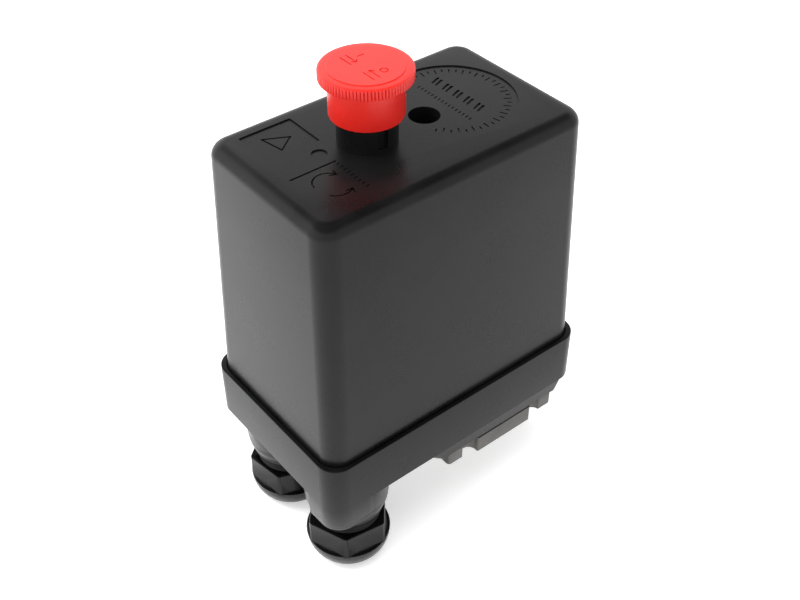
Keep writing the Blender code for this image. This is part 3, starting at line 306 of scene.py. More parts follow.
def shaped(name, maker):
    mesh = bpy.data.meshes.new(name)
    shape = bmesh.new()
    maker(shape)
    bmesh.ops.remove_doubles(shape, verts=shape.verts[:], dist=0.0005 * MM)
    bmesh.ops.recalc_face_normals(shape, faces=shape.faces[:])
    shape.to_mesh(mesh)
    shape.free()
    obj = bpy.data.objects.new(name, mesh)
    bpy.context.scene.collection.objects.link(obj)
    return obj


def lofted(name, rings, closed=False):
    """Quads between rings of equal length; the first and last are capped unless the loft closes on itself."""

    def make(shape):
        rows = [[shape.verts.new(place) for place in ring] for ring in rings]
        pairs = list(zip(rows, rows[1:]))
        if closed:
            pairs.append((rows[-1], rows[0]))
        count = len(rings[0])
        for lower, upper in pairs:
            for index in range(count):
                after = (index + 1) % count
                shape.faces.new((lower[index], lower[after], upper[after], upper[index]))
        if not closed:
            shape.faces.new(rows[0])
            shape.faces.new(rows[-1])

    return shaped(name, make)


def plan_ring(x_low, x_high, y_low, y_high, radius, height, steps=10):
    """A rounded rectangle in plan, at one height."""
    ring = []
    corners = (
        (x_high - radius, y_high - radius, 0),
        (x_low + radius, y_high - radius, 90),
        (x_low + radius, y_low + radius, 180),
        (x_high - radius, y_low + radius, 270),
    )
    for x, y, start in corners:
        for index in range(steps + 1):
            angle = math.radians(start + 90 * index / steps)
            ring.append((*polar(x, y, radius, angle), height))
    return ring


def block(name, low, high, radius=0.02 * MM, steps=1):
    rings = [plan_ring(low[0], high[0], low[1], high[1], radius, z, steps) for z in (low[2], high[2])]
    return lofted(name, rings)


def lathe(name, profile, x=0.0, y=0.0, steps=96, wobble=None):
    """A solid of revolution from (radius, height) points. wobble changes a radius with its angle."""
    closed = all(radius > 0 for radius, _ in profile)

    def make(shape):
        rows = []
        for level, (radius, height) in enumerate(profile):
            if radius <= 0:
                rows.append([shape.verts.new((x, y, height))])
                continue
            row = []
            for index in range(steps):
                angle = 2 * math.pi * index / steps
                reach = wobble(level, angle, radius) if wobble else radius
                row.append(shape.verts.new((*polar(x, y, reach, angle), height)))
            rows.append(row)
        pairs = list(zip(rows, rows[1:]))
        if closed:
            pairs.append((rows[-1], rows[0]))
        for lower, upper in pairs:
            for index in range(steps):
                after = (index + 1) % steps
                corners = [lower[index % len(lower)], lower[after % len(lower)]]
                corners += [upper[after % len(upper)], upper[index % len(upper)]]
                unique = list(dict.fromkeys(corners))
                if len(unique) > 2:
                    shape.faces.new(unique)

    return shaped(name, make)


def rod(name, radius, low, high, x, y, steps=48):
    return lathe(name, [(0.0, low), (radius, low), (radius, high), (0.0, high)], x, y, steps)


def settle(obj):
    """Puts what the modifiers make into the mesh itself."""
    graph = bpy.context.evaluated_depsgraph_get()
    made = bpy.data.meshes.new_from_object(obj.evaluated_get(graph))
    obj.modifiers.clear()
    obj.data = made
    return obj


def shape_with(obj, operation, tools):
    for tool in tools:
        step = obj.modifiers.new(tool.name, "BOOLEAN")
        step.operation = operation
        step.solver = "EXACT"
        step.object = tool
    settle(obj)
    for tool in tools:
        bpy.data.objects.remove(tool)
    return obj


def carve(obj, *tools):
    return shape_with(obj, "DIFFERENCE", tools)


def weld(obj, *tools):
    return shape_with(obj, "UNION", tools)


def gathered(name, tools):
    """Several separate closed shapes as one object."""

    def make(shape):
        for tool in tools:
            shape.from_mesh(tool.data)

    obj = shaped(name, make)
    for tool in tools:
        bpy.data.objects.remove(tool)
    return obj


def soften(obj, width, segments=2, angle=32.0):
    """Smooth shading up to an angle, and sharper edges kept or rounded over."""
    obj.data.shade_smooth()
    if width:
        edge = obj.modifiers.new("edges", "BEVEL")
        edge.width = width
        edge.segments = segments
        edge.limit_method = "ANGLE"
        edge.angle_limit = math.radians(angle)
        edge.harden_normals = True
    else:
        obj.data.set_sharp_from_angle(angle=math.radians(angle))
    return obj


def fit(obj, body, surface, nodes=(), width=0.15 * MM, segments=2, angle=32.0):
    """Finishes a piece: material, soft edges, its body and the nodes that it stands for."""
    obj.data.materials.clear()
    obj.data.materials.append(surface)
    soften(obj, width, segments, angle)
    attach(obj, body)
    if nodes:
        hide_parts(*nodes)
    return obj


# ---------------------------------------------------------------- base
def corner_reach(half_x, half_y, radius, angle):
    """How far a rounded rectangle reaches from its middle, at an angle between 0 and 90 degrees."""
    way = Vector((math.cos(angle), math.sin(angle)))
    if half_x * way.y <= (half_y - radius) * way.x:
        return half_x / way.x
    if half_y * way.x <= (half_x - radius) * way.y:
        return half_y / way.y
    centre = Vector((half_x - radius, half_y - radius))
    along = way.dot(centre)
    return along + math.sqrt(along**2 - centre.length_squared + radius**2)


def pad_reach(side, angle):
    """The outline of a gland's pad: round, and at the front gland square to the skirt's own corner."""
    if side == "front" and math.pi < angle < 1.5 * math.pi:
        half_x = GLAND[side].x - BACK_X - 0.05 * MM
        half_y = GLAND[side].y + HALF_WIDTH - 0.05 * MM
        return max(PAD_RADIUS, corner_reach(half_x, half_y, SKIRT_RADIUS, angle - math.pi))
    return PAD_RADIUS


def gland_boss(side):
    """Pad, taper, boss and threaded neck of one gland."""
    centre = GLAND[side]
    boss_radius = 11.2 * MM
    pad_bottom = SKIRT_BOTTOM - 6.6 * MM
    boss_bottom = SKIRT_BOTTOM - 12.7 * MM
    thread_bottom = base_low.z
    edge = 0.35 * MM
    levels = [(SKIRT_BOTTOM + 1 * MM, 0.0, 0.0), (pad_bottom + edge, 0.0, 0.0), (pad_bottom, 0.0, edge * 0.4)]
    taper = 4.4 * MM
    steps = 10
    for step in range(1, steps + 1):
        angle = math.pi / 2 * step / steps
        height = pad_bottom - taper * math.sin(angle)
        levels.append((height, 1 - math.cos(angle), edge * 0.4 * math.cos(angle)))
    levels += [(boss_bottom + edge, 1.0, 0.0), (boss_bottom, 1.0, edge)]
    crest, root, pitch = 10.0 * MM, 9.4 * MM, 1.5 * MM
    neck = [(boss_bottom, root)]
    height = boss_bottom - 0.45 * MM
    while height - pitch > thread_bottom + 0.2 * MM:
        neck += [(height, root), (height - 0.45 * pitch, crest), (height - 0.6 * pitch, crest)]
        height -= pitch
    neck += [(height, root), (thread_bottom, root)]
    count = 120
    turns = [2 * math.pi * index / count for index in range(count)]
    rings = []
    for z, share, inset in levels:
        ring = []
        for angle in turns:
            reach = boss_radius * share + pad_reach(side, angle) * (1 - share) - inset
            ring.append((*polar(centre.x, centre.y, reach, angle), z))
        rings.append(ring)
    for z, radius in neck:
        rings.append([(*polar(centre.x, centre.y, radius, angle), z) for angle in turns])
    return lofted(f"{side} boss", rings)


def housing_base():
    skirt_rings = []
    edge = 0.3 * MM
    for inset, height in ((edge, SKIRT_BOTTOM), (0.0, SKIRT_BOTTOM + edge), (0.0, RIM_Z - edge)):
        skirt_rings.append((inset, height))
    for step in range(1, 5):
        angle = math.pi / 2 * step / 4
        skirt_rings.append((edge * (1 - math.cos(angle)), RIM_Z - edge * (1 - math.sin(angle))))
    rings = []
    for inset, height in skirt_rings:
        x_ends = (BACK_X + inset, END_X - inset)
        y_ends = (inset - HALF_WIDTH, HALF_WIDTH - inset)
        rings.append(plan_ring(*x_ends, *y_ends, SKIRT_RADIUS - inset, height, 14))
    skirt = lofted("housing_base", rings)
    low_y = HALF_WIDTH - 1.2 * MM
    high_y = HALF_WIDTH - 0.8 * MM
    pedestal = lofted(
        "pedestal",
        [
            plan_ring(-26.7 * MM, 22.3 * MM, -low_y, low_y, 2.0 * MM, PEDESTAL_BOTTOM, 6),
            plan_ring(-33.4 * MM, 25.5 * MM, -high_y, high_y, 3.0 * MM, SKIRT_BOTTOM + 0.5 * MM, 6),
        ],
    )
    weld(skirt, pedestal, gland_boss("front"), gland_boss("rear"))
    ends = (BACK_X + BASE_WALL, END_X - BASE_WALL)
    sides = (BASE_WALL - HALF_WIDTH, HALF_WIDTH - BASE_WALL)
    heights = (FLOOR_TOP, RIM_Z + 5 * MM)
    cavity = lofted("cavity", [plan_ring(*ends, *sides, 4.0 * MM, z, 8) for z in heights])
    ends = (BACK_X + RIM_LEDGE, END_X - RIM_LEDGE)
    sides = (RIM_LEDGE - HALF_WIDTH, HALF_WIDTH - RIM_LEDGE)
    heights = (RIM_Z - COVER_SEAT, RIM_Z + 5 * MM)
    seat = lofted("seat", [plan_ring(*ends, *sides, COVER_RADIUS + GAP, z, 12) for z in heights])
    piston_low, piston_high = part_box("piston")
    rubber_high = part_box("diaphragm")[1]
    stem = 3.5 * MM
    chamber = lathe(
        "chamber",
        [
            (0.0, FLOOR_TOP + 1 * MM),
            (stem, FLOOR_TOP + 1 * MM),
            (stem, piston_low.z + 4.7 * MM),
            (piston_high.x + GAP, piston_low.z + 4.7 * MM),
            (piston_high.x + GAP, rubber_high.z + GAP),
            (rubber_high.x + GAP, rubber_high.z + GAP),
            (rubber_high.x + GAP, PEDESTAL_BOTTOM - 1 * MM),
            (0.0, PEDESTAL_BOTTOM - 1 * MM),
        ],
    )
    low, high = base_low.z - 1 * MM, FLOOR_TOP + 1 * MM
    bores = [rod(f"{side} bore", CABLE_RADIUS, low, high, *GLAND[side].xy, 72) for side in SIDES]
    holes = []
    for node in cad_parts:
        low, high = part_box(node)
        x, y = (low.x + high.x) / 2, (low.y + high.y) / 2
        if node.startswith(("frame_screw", "block_screw", "earth_screw")):
            holes.append(rod(f"{node} hole", 1.8 * MM, low.z - GAP, FLOOR_TOP + 1 * MM, x, y, 32))
        if node.startswith("flange_screw"):
            holes.append(rod(f"{node} hole", 2.2 * MM, PEDESTAL_BOTTOM - 1 * MM, high.z + 0.5 * MM, x, y, 32))
    carve(skirt, cavity, seat, chamber, gathered("bores", bores), gathered("holes", holes))
    fit(skirt, "housing", HOUSING, ["base"], 0.0)


# ---------------------------------------------------------------- cover
def groove(points, width, low, high, steps=6):
    """A closed wall of round-ended strokes along a line in plan, from low to high."""
    strokes = []
    for start, end in zip(points, points[1:]):
        a, b = Vector(start), Vector(end)
        along = (b - a).normalized()
        heading = math.atan2(along.y, along.x)
        outline = []
        for centre, turn in ((b, -90), (a, 90)):
            for index in range(steps + 1):
                angle = heading + math.radians(turn + 180 * index / steps)
                outline.append(polar(centre.x, centre.y, width / 2, angle))
        strokes.append(lofted("stroke", [[(x, y, z) for x, y in outline] for z in (low, high)]))
    return strokes


def arc(centre, radius, start, end, steps=10):
    found = []
    for index in range(steps + 1):
        angle = math.radians(start + (end - start) * index / steps)
        found.append((centre[0] + radius * math.cos(angle), centre[1] + radius * math.sin(angle)))
    return found


def turned_arrow(centre, radius, start, end, head):
    """A curved arrow: an arc and the two strokes of its head."""
    line = arc(centre, radius, start, end, 8)
    tip = Vector(line[-1])
    way = (tip - Vector(line[-2])).normalized()
    across = Vector((-way.y, way.x))
    left = tip - way * head + across * head * 0.7
    right = tip - way * head - across * head * 0.7
    return [line, [tuple(left), tuple(tip)], [tuple(right), tuple(tip)]]


def cover_shell():
    def ring(inset, radius, height, steps=14):
        share = min(1.0, (height - COVER_BOTTOM) / (COVER_TOP - COVER_BOTTOM))
        back = COVER_OUTSET + COVER_LEAN * share + inset
        sides = (back - HALF_WIDTH, HALF_WIDTH - back)
        return plan_ring(BACK_X + back, END_X - back, *sides, radius, height, steps)

    def skin(name, inset, radius, fillet, bottom, top):
        rings = []
        for step in range(5):
            rings.append(ring(inset, radius, bottom + (top - fillet - bottom) * step / 4))
        turns = 10
        for step in range(1, turns + 1):
            angle = math.pi / 2 * step / turns
            drop = fillet * (1 - math.cos(angle))
            height = top - fillet * (1 - math.sin(angle))
            rings.append(ring(inset + drop, max(radius - drop, 0.4 * MM), height))
        return lofted(name, rings)

    shell = skin("cover_shell", 0.0, COVER_RADIUS, COVER_FILLET, COVER_BOTTOM, COVER_TOP)
    inside_top = COVER_TOP - COVER_WALL
    bottom = COVER_BOTTOM - 1 * MM
    hollow = skin("hollow", COVER_WALL, COVER_RADIUS - COVER_WALL, 1.6 * MM, bottom, inside_top)
    carve(shell, hollow)
    tube_bottom = COVER_TOP - 13.0 * MM
    collar_top = COVER_TOP + 10.5 * MM
    collar = lathe(
        "collar",
        [
            (0.0, inside_top + 1 * MM),
            (8.0 * MM, inside_top + 1 * MM),
            (8.0 * MM, COVER_TOP + 0.5 * MM),
            (8.0 * MM, collar_top),
            (0.0, collar_top),
        ],
        KNOB_X,
        0.0,
    )
    tube = rod("tube", 5.9 * MM, tube_bottom, inside_top + 1 * MM, SCREW_X, 0.0, 72)
    weld(shell, collar, tube)
    bore = rod("collar bore", 6.3 * MM, inside_top - 1 * MM, collar_top + 1 * MM, KNOB_X, 0.0, 72)
    well = rod("well", 4.3 * MM, tube_bottom + 2.0 * MM, COVER_TOP + 1 * MM, SCREW_X, 0.0, 72)
    through = rod("through", 2.2 * MM, tube_bottom - 1 * MM, COVER_TOP, SCREW_X, 0.0, 40)
    slot_angle = math.radians(-97.5)
    near = (7.0 * MM, -1.35 * MM, COVER_TOP + 1.1 * MM)
    slot = block("slot", near, (9.0 * MM, 1.35 * MM, collar_top + 1 * MM))
    slot.data.transform(Matrix.Translation((KNOB_X, 0.0, 0.0)) @ Matrix.Rotation(slot_angle, 4, "Z"))
    carve(shell, bore, well, through, slot)
    panels = []
    sink = 0.35 * MM
    floor = COVER_TOP - sink
    above = COVER_TOP + 1 * MM
    panels.append(rod("disc", 18.1 * MM, floor, above, *RING_CENTRE, 96))
    near = (-55.5 * MM, 6.9 * MM, floor)
    panels.append(block("panel", near, (-39.6 * MM, 20.5 * MM, above), 0.5 * MM, 3))
    panels.append(rod("spot", 2.1 * MM, floor, above, -43.4 * MM, 2.0 * MM, 40))
    carve(shell, gathered("panels", panels))
    carve(shell, top_marks(floor - 0.35 * MM, above))
    fit(shell, "cover", HOUSING, ["cover"], 0.0)


def top_marks(low, high):
    """Plain engraved marks: a triangle, two turning arrows, a ring of short bars and rows of strokes."""
    lines = []
    triangle = [(-50.8, 16.9), (-44.2, 13.5), (-49.4, 9.6), (-50.8, 16.9)]
    lines.append(([(x * MM, y * MM) for x, y in triangle], 0.55 * MM))
    for points in turned_arrow((-49.0 * MM, -9.4 * MM), 3.9 * MM, 175, 20, 1.5 * MM):
        lines.append((points, 0.4 * MM))
    for points in turned_arrow((-48.4 * MM, -11.8 * MM), 4.2 * MM, 215, 310, 1.5 * MM):
        lines.append((points, 0.4 * MM))
    lines.append(([(-55.7 * MM, -3.1 * MM), (-42.2 * MM, -3.1 * MM)], 0.55 * MM))
    centre = Vector(RING_CENTRE)
    count = 38
    for step in range(count):
        angle = math.radians(124 - 269 * step / (count - 1))
        way = Vector((math.cos(angle), math.sin(angle)))
        size = 1.0 * MM if step % 2 else 1.9 * MM
        lines.append(([tuple(centre + way * (16.2 * MM - size)), tuple(centre + way * 16.2 * MM)], 0.4 * MM))
    for step in range(5):
        y = (11.2 - 4.3 * step) * MM
        for shift in (-0.75 * MM, 0.75 * MM):
            lines.append(([(1.7 * MM, y + shift - 0.5 * MM), (4.4 * MM, y + shift + 0.5 * MM)], 0.75 * MM))
    for step in range(16):
        y = (12.0 - 1.4 * step) * MM
        lines.append(([(-3.1 * MM, y), (-2.2 * MM, y + 0.2 * MM)], 0.35 * MM))
    for step in range(9):
        y = (-4.6 - 1.5 * step) * MM
        lines.append(([(-42.9 * MM, y), (-41.9 * MM, y + 0.2 * MM)], 0.3 * MM))
    strokes = []
    for points, width in lines:
        strokes += groove(points, width, low, high)
    return joined_strokes(strokes)


def joined_strokes(strokes):
    """Strokes that may cross, welded into one closed cutter."""
    first = strokes[0]
    rest = strokes[1:]
    holder = bpy.data.collections.new("strokes")
    for stroke in rest:
        holder.objects.link(stroke)
    step = first.modifiers.new("strokes", "BOOLEAN")
    step.operation = "UNION"
    step.solver = "EXACT"
    step.operand_type = "COLLECTION"
    step.collection = holder
    settle(first)
    for stroke in rest:
        bpy.data.objects.remove(stroke)
    bpy.data.collections.remove(holder)
    return first


# ---------------------------------------------------------------- knob
def knob_cap():
    top, bottom = knob_high.z, knob_low.z
    cap_low = top - 3.2 * MM
    outer, skirt = 12.1 * MM, 9.8 * MM
    inner = skirt - 1.4 * MM
    step = 9.8 * MM
    raise_by = 0.22 * MM
    rim = top - raise_by
    hub = 4.8 * MM
    bore = 2.8 * MM
    shaft_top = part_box("knob_shaft")[1].z
    hub_bottom = cap_low - 7.4 * MM
    profile = [
        (0.0, top),
        (step - 0.12 * MM, top),
        (step, top - 0.1 * MM),
        (step + 0.02 * MM, rim),
        (outer - 0.75 * MM, rim),
        (outer - 0.4 * MM, rim - 0.06 * MM),
        (outer - 0.14 * MM, rim - 0.24 * MM),
        (outer, rim - 0.5 * MM),
        (outer, rim - 0.7 * MM),
        (outer, cap_low + 0.35 * MM),
        (outer - 0.1 * MM, cap_low + 0.1 * MM),
        (outer - 0.35 * MM, cap_low),
        (skirt + 0.5 * MM, cap_low),
        (skirt + 0.1 * MM, cap_low - 0.15 * MM),
        (skirt, cap_low - 0.5 * MM),
        (skirt, bottom + 0.5 * MM),
        (skirt - 0.15 * MM, bottom + 0.15 * MM),
        (skirt - 0.5 * MM, bottom),
        (inner + 0.2 * MM, bottom),
        (inner, bottom + 0.2 * MM),
        (inner, cap_low - 1.4 * MM),
        (hub, cap_low - 1.4 * MM),
        (hub, hub_bottom),
        (bore, hub_bottom),
        (bore, shaft_top + GAP),
        (0.0, shaft_top + GAP),
    ]
    teeth = 86
    knurled = {6: 0.3, 7: 0.8, 8: 1.0, 9: 1.0, 10: 0.9}

    def knurl(level, angle, radius):
        depth = knurled.get(level, 0.0)
        wave = abs(math.sin(angle * teeth / 2))
        return radius - depth * 0.45 * MM * (1.0 - wave**0.6)

    cap = lathe("knob_cap", profile, KNOB_X, 0.0, teeth * 8, knurl)
    marks = []
    for points, width in knob_marks():
        marks += groove([(KNOB_X + x, y) for x, y in points], width, top - 0.3 * MM, top + 1 * MM, 4)
    carve(cap, joined_strokes(marks))
    fit(cap, "knob", RED, ["knob"], 0.0)
    shaft_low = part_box("knob_shaft")[0].z
    stem = lathe(
        "knob_stem",
        [
            (0.0, shaft_top),
            (2.3 * MM, shaft_top),
            (2.5 * MM, shaft_top - 0.2 * MM),
            (2.5 * MM, shaft_low + 1.5 * MM),
            (1.7 * MM, shaft_low + 0.2 * MM),
            (1.4 * MM, shaft_low),
            (0.0, shaft_low),
        ],
        KNOB_X,
        0.0,
        48,
    )
    fit(stem, "knob", SCREW_STEEL, ["knob_shaft"], 0.0)
    low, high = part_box("knob_bush")
    bush = lathe(
        "shaft_bush",
        [(6.0 * MM, high.z), (6.0 * MM, low.z), (2.8 * MM, low.z), (2.8 * MM, high.z)],
        KNOB_X,
        0.0,
        64,
    )
    fit(bush, "cover", GLAND_PLASTIC, ["knob_bush"], 0.2 * MM)


def knob_marks():
    """A stroke over an arrow one way, and a ring over an arrow the other way, each on its plain bar."""
    width = 0.34 * MM
    marks = []
    for way in (1, -1):
        y = way * 4.7 * MM
        tail, tip = y + way * 2.2 * MM, y - way * 2.2 * MM
        marks.append(([(-0.9 * MM, tail), (-0.9 * MM, tip)], width))
        for side in (-0.8, 0.8):
            marks.append(([((side - 0.9) * MM, tip + way * 1.0 * MM), (-0.9 * MM, tip)], width))
        marks.append(([(-2.7 * MM, tail), (-2.7 * MM, tip)], width))
    marks.append(([(1.0 * MM, 4.7 * MM), (2.9 * MM, 4.7 * MM)], width))
    marks.append((arc((1.95 * MM, -4.7 * MM), 0.95 * MM, 0, 360, 14), width))
    return marks


# ---------------------------------------------------------------- glands
def gland_cap(side):
    low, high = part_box(f"gland_nut_{side}")
    x, y = GLAND[side].xy
    corner = 22.4 * MM / math.sqrt(3)
    round_radius = 12.75 * MM
    mouth = 7.2 * MM
    waist = high.z - 7.85 * MM
    hexagon = []
    for index in range(6):
        angle = NUT_TURN[side] + math.radians(60 * index)
        hexagon.append(polar(x, y, corner, angle))
    nut = lofted(f"gland_cap_{side}", [[(*p, z) for p in hexagon] for z in (waist - 0.5 * MM, high.z)])
    settle(soften(nut, 0.22 * MM, 3, 30.0))
    shape_with(nut, "INTERSECT", [rod("round", 12.62 * MM, low.z, high.z + 1 * MM, x, y, 120)])
    profile = [(0.0, waist + 1.9 * MM), (10.95 * MM, waist + 1.9 * MM)]
    for index in range(7):
        angle = math.pi / 2 * index / 6
        reach = round_radius - 0.15 * MM - 1.6 * MM * math.cos(angle)
        profile.append((reach, waist + 1.6 * MM * (1 - math.sin(angle))))
    turns = 14
    for index in range(turns + 1):
        angle = math.pi / 2 * index / turns
        radius = mouth + (round_radius - mouth) * math.cos(angle)
        profile.append((radius, waist - 0.15 * MM - (waist - 0.15 * MM - low.z) * math.sin(angle)))
    profile.append((0.0, low.z))
    shape_with(nut, "UNION", [lathe("dome", profile, x, y, 120)])
    cap_top = low.z + 5.0 * MM
    thread = rod("thread", 10.15 * MM, cap_top, high.z + 1 * MM, x, y, 72)
    hole = rod("hole", CABLE_RADIUS, low.z - 1 * MM, cap_top + 1 * MM, x, y, 72)
    lip = [(6.95 * MM, low.z - 1 * MM), (6.95 * MM, low.z), (6.3 * MM, low.z + 0.65 * MM)]
    mouth_cut = lathe("mouth", [(0.0, low.z - 1 * MM), *lip, (0.0, low.z + 0.65 * MM)], x, y, 72)
    carve(nut, thread, hole, mouth_cut)
    fit(nut, f"gland_nut_{side}", GLAND_PLASTIC, [f"gland_nut_{side}"], 0.0)
    for kind, body, surface, slot in (
        ("seal", f"gland_nut_{side}", RUBBER, "black_rubber"),
        ("ring", f"gland_ring_{side}", SHEET_STEEL, "zinc_plated_steel"),
    ):
        node = f"gland_{kind}_{side}"
        low_k, high_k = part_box(node)
        outer = (high_k.x - low_k.x) / 2
        inner = 5.8 * MM if kind == "seal" else CABLE_RADIUS
        piece = lathe(
            f"cable_{kind}_{side}",
            [(outer, high_k.z), (outer, low_k.z), (inner, low_k.z), (inner, high_k.z)],
            x,
            y,
            72,
        )
        fit(piece, body, surface, [node], 0.3 * MM if kind == "seal" else 0.1 * MM)


# ---------------------------------------------------------------- flange
def tank_flange():
    half_x, half_y = flange_high.x, 27.0 * MM
    top, bottom = flange_high.z, 13.5 * MM
    plate = block("tank_flange", (-half_x, -half_y, bottom), (half_x, half_y, top), 1.1 * MM, 5)
    reach = flange_high.y
    wing = block("wing", (-11.0 * MM, -reach, bottom), (11.0 * MM, reach, top - 1.2 * MM), 0.5 * MM, 3)
    boss = rod("boss", 10.0 * MM, 0.0, bottom + 2 * MM, 0.0, 0.0, 96)
    weld(plate, wing, boss)
    scallops = []
    for x in (-13.6 * MM, 13.6 * MM):
        for y in (-half_y - 0.2 * MM, half_y + 0.2 * MM):
            scallops.append(rod("scallop", 2.6 * MM, bottom - 1 * MM, top + 1 * MM, x, y, 48))
    low = -1 * MM
    bore = lathe(
        "bore",
        [
            (0.0, top + 1 * MM),
            (13.0 * MM, top + 1 * MM),
            (13.0 * MM, top - 3.0 * MM),
            (2.4 * MM, top - 3.0 * MM),
            (2.4 * MM, 11.0 * MM),
            (5.2 * MM, 11.0 * MM),
            *port_thread(),
            (6.7 * MM, 0.0),
            (6.7 * MM, low),
            (0.0, low),
        ],
        0.0,
        0.0,
        96,
    )
    holes = []
    for index in range(1, 5):
        low_s, high_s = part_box(f"flange_screw_{index}")
        x, y = (low_s.x + high_s.x) / 2, (low_s.y + high_s.y) / 2
        holes.append(
            lathe(
                "lug hole",
                [
                    (0.0, bottom - 1 * MM),
                    (3.1 * MM, bottom - 1 * MM),
                    (3.1 * MM, bottom + 3.2 * MM),
                    (2.2 * MM, bottom + 3.2 * MM),
                    (2.2 * MM, top + 1 * MM),
                    (0.0, top + 1 * MM),
                ],
                x,
                y,
                48,
            )
        )
    carve(plate, gathered("notches", scallops))
    settle(soften(plate, 0.5 * MM, 3, 40.0))
    carve(plate, bore, gathered("lug holes", holes))
    fit(plate, "housing", CAST, ["pressure_flange"], 0.0)


def port_thread():
    """The female pipe thread's flanks in the port, as rings."""
    found = []
    height = 10.4 * MM
    pitch = 1.35 * MM
    while height - pitch > 0.6 * MM:
        found += [(5.4 * MM, height), (5.95 * MM, height - 0.45 * pitch), (5.95 * MM, height - 0.6 * pitch)]
        height -= pitch
    found += [(5.4 * MM, height), (5.9 * MM, 0.6 * MM)]
    return found


# ---------------------------------------------------------------- screws and springs
def screw(node, body, surface, slot, up=1, driver="slot"):
    """A turned screw with a domed head, its driver slot and rings for its thread."""
    low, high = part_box(node)
    x, y = (low.x + high.x) / 2, (low.y + high.y) / 2
    head_radius = (high.y - low.y) / 2
    length = high.z - low.z
    sizes = SCREW_SIZES[node.rsplit("_", 1)[0] if node[-1].isdigit() else node]
    shank, head = sizes
    pitch = 0.5 * MM if shank < 2.0 * MM else 0.7 * MM
    profile = [(0.0, length), (head_radius * 0.55, length), (head_radius * 0.86, length - head * 0.12)]
    profile += [(head_radius, length - head * 0.42), (head_radius, length - head + 0.12 * MM)]
    height = length - head - 0.4 * MM
    profile += [(head_radius - 0.12 * MM, length - head), (shank, length - head), (shank, height)]
    while height - pitch > 0.7 * MM:
        profile += [(shank - 0.24 * MM, height - 0.5 * pitch), (shank, height - pitch)]
        height -= pitch
    profile += [(shank * 0.82, 0.3 * MM), (shank * 0.6, 0.0), (0.0, 0.0)]
    piece = lathe(f"{node}_fine", profile, 0.0, 0.0, 40)
    slot_low, slot_high = length - head * 0.48, length + 1 * MM
    cuts = [block("driver", (-0.4 * MM, -5 * MM, slot_low), (0.4 * MM, 5 * MM, slot_high))]
    if driver == "cross":
        cuts.append(block("crossing", (-5 * MM, -0.4 * MM, slot_low), (5 * MM, 0.4 * MM, slot_high)))
    carve(piece, *cuts)
    turn = sum(ord(letter) for letter in node) % 180
    place = Matrix.Translation((x, y, low.z)) @ Matrix.Rotation(math.radians(turn), 4, "Z")
    if up < 0:
        place = Matrix.Translation((x, y, high.z)) @ Matrix.Rotation(math.pi, 4, "X")
    piece.data.transform(place)
    fit(piece, body, surface, [node], 0.08 * MM, 2, 40.0)


SCREW_SIZES = {
    "cover_screw": (1.9 * MM, 2.6 * MM),
    "flange_screw": (1.9 * MM, 2.6 * MM),
    "frame_screw": (1.5 * MM, 2.0 * MM),
    "block_screw": (1.5 * MM, 2.0 * MM),
    "earth_screw": (1.5 * MM, 2.0 * MM),
    "terminal_screw": (1.2 * MM, 2.0 * MM),
    "range_screw": (2.0 * MM, 3.2 * MM),
    "differential_screw": (1.4 * MM, 3.2 * MM),
}


def screws():
    steel = (SCREW_STEEL, "screw_steel")
    screw("cover_screw", "cover", *steel)
    for index in range(1, 5):
        screw(f"flange_screw_{index}", "housing", *steel, up=-1, driver="cross")
        screw(f"frame_screw_{index}", "housing", *steel, driver="cross")
        screw(f"terminal_screw_{index}", "housing", *steel)
    for index in (1, 2):
        screw(f"block_screw_{index}", "housing", *steel, driver="cross")
    screw("earth_screw", "housing", BRASS, "brass")
    screw("range_screw", "range_screw", *steel)
    screw("differential_screw", "differential_screw", *steel)


def spring(name, node, turns, wire, radius):
    """A wound spring with closed end turns, as a tube along its wire."""
    low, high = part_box(node)
    x = {"main_spring": 0.0, "differential_spring": 2.0 * MM}.get(node, (low.x + high.x) / 2)
    y = {"main_spring": 0.0, "differential_spring": 10.2 * MM}.get(node, (low.y + high.y) / 2)
    bottom, top = low.z + wire, high.z - wire
    per_turn = 28
    total = turns * per_turn
    around = 10
    rings = []
    close = 1.0 / turns
    end_rise = 0.07
    for index in range(total + 1):
        share = index / total
        eased = (share - close * 0.8) / (1 - 1.6 * close)
        rise = min(max(eased, 0.0), 1.0)
        rise = rise * (1 - 2 * end_rise) + end_rise
        if share < close:
            rise = end_rise * share / close if eased <= 0 else rise
        angle = 2 * math.pi * index / per_turn
        spot = Vector((*polar(x, y, radius, angle), bottom + (top - bottom) * rise))
        if share > 1 - close and eased >= 1:
            spot.z = bottom + (top - bottom) * (1 - end_rise * (1 - share) / close)
        out = Vector((math.cos(angle), math.sin(angle), 0.0))
        ring = []
        for part in range(around):
            turn = 2 * math.pi * part / around
            ring.append(tuple(spot + out * wire * math.cos(turn) + Vector((0, 0, wire * math.sin(turn)))))
        rings.append(ring)
    return lofted(name, rings)


def springs():
    main = spring("range_spring", "main_spring", 8, 0.8 * MM, 5.4 * MM)
    small = spring("lift_spring", "differential_spring", 9, 0.45 * MM, 2.5 * MM)
    followed = ((main, "main_spring", "range_nut"), (small, "differential_spring", "differential_nut"))
    for piece, node, nut in followed:
        piece.data.materials.append(WIRE_STEEL)
        soften(piece, 0.0)
        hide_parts(node)
        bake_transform(piece)
    for side in SIDES:
        node = f"contact_spring_{side}"
        piece = spring(f"bridge_spring_{side}", node, 4, 0.35 * MM, 1.7 * MM)
        fit(piece, "contact_carrier", WIRE_STEEL, [node], 0.0)


# ---------------------------------------------------------------- nodes that keep their own shape
def keep_node(node, surface, width=0.2 * MM):
    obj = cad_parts[node]
    obj.data.materials.clear()
    obj.data.materials.append(surface)
    if width:
        edge = obj.modifiers.new("edges", "BEVEL")
        edge.width = width
        edge.segments = 2
        edge.limit_method = "ANGLE"
        edge.angle_limit = math.radians(50)


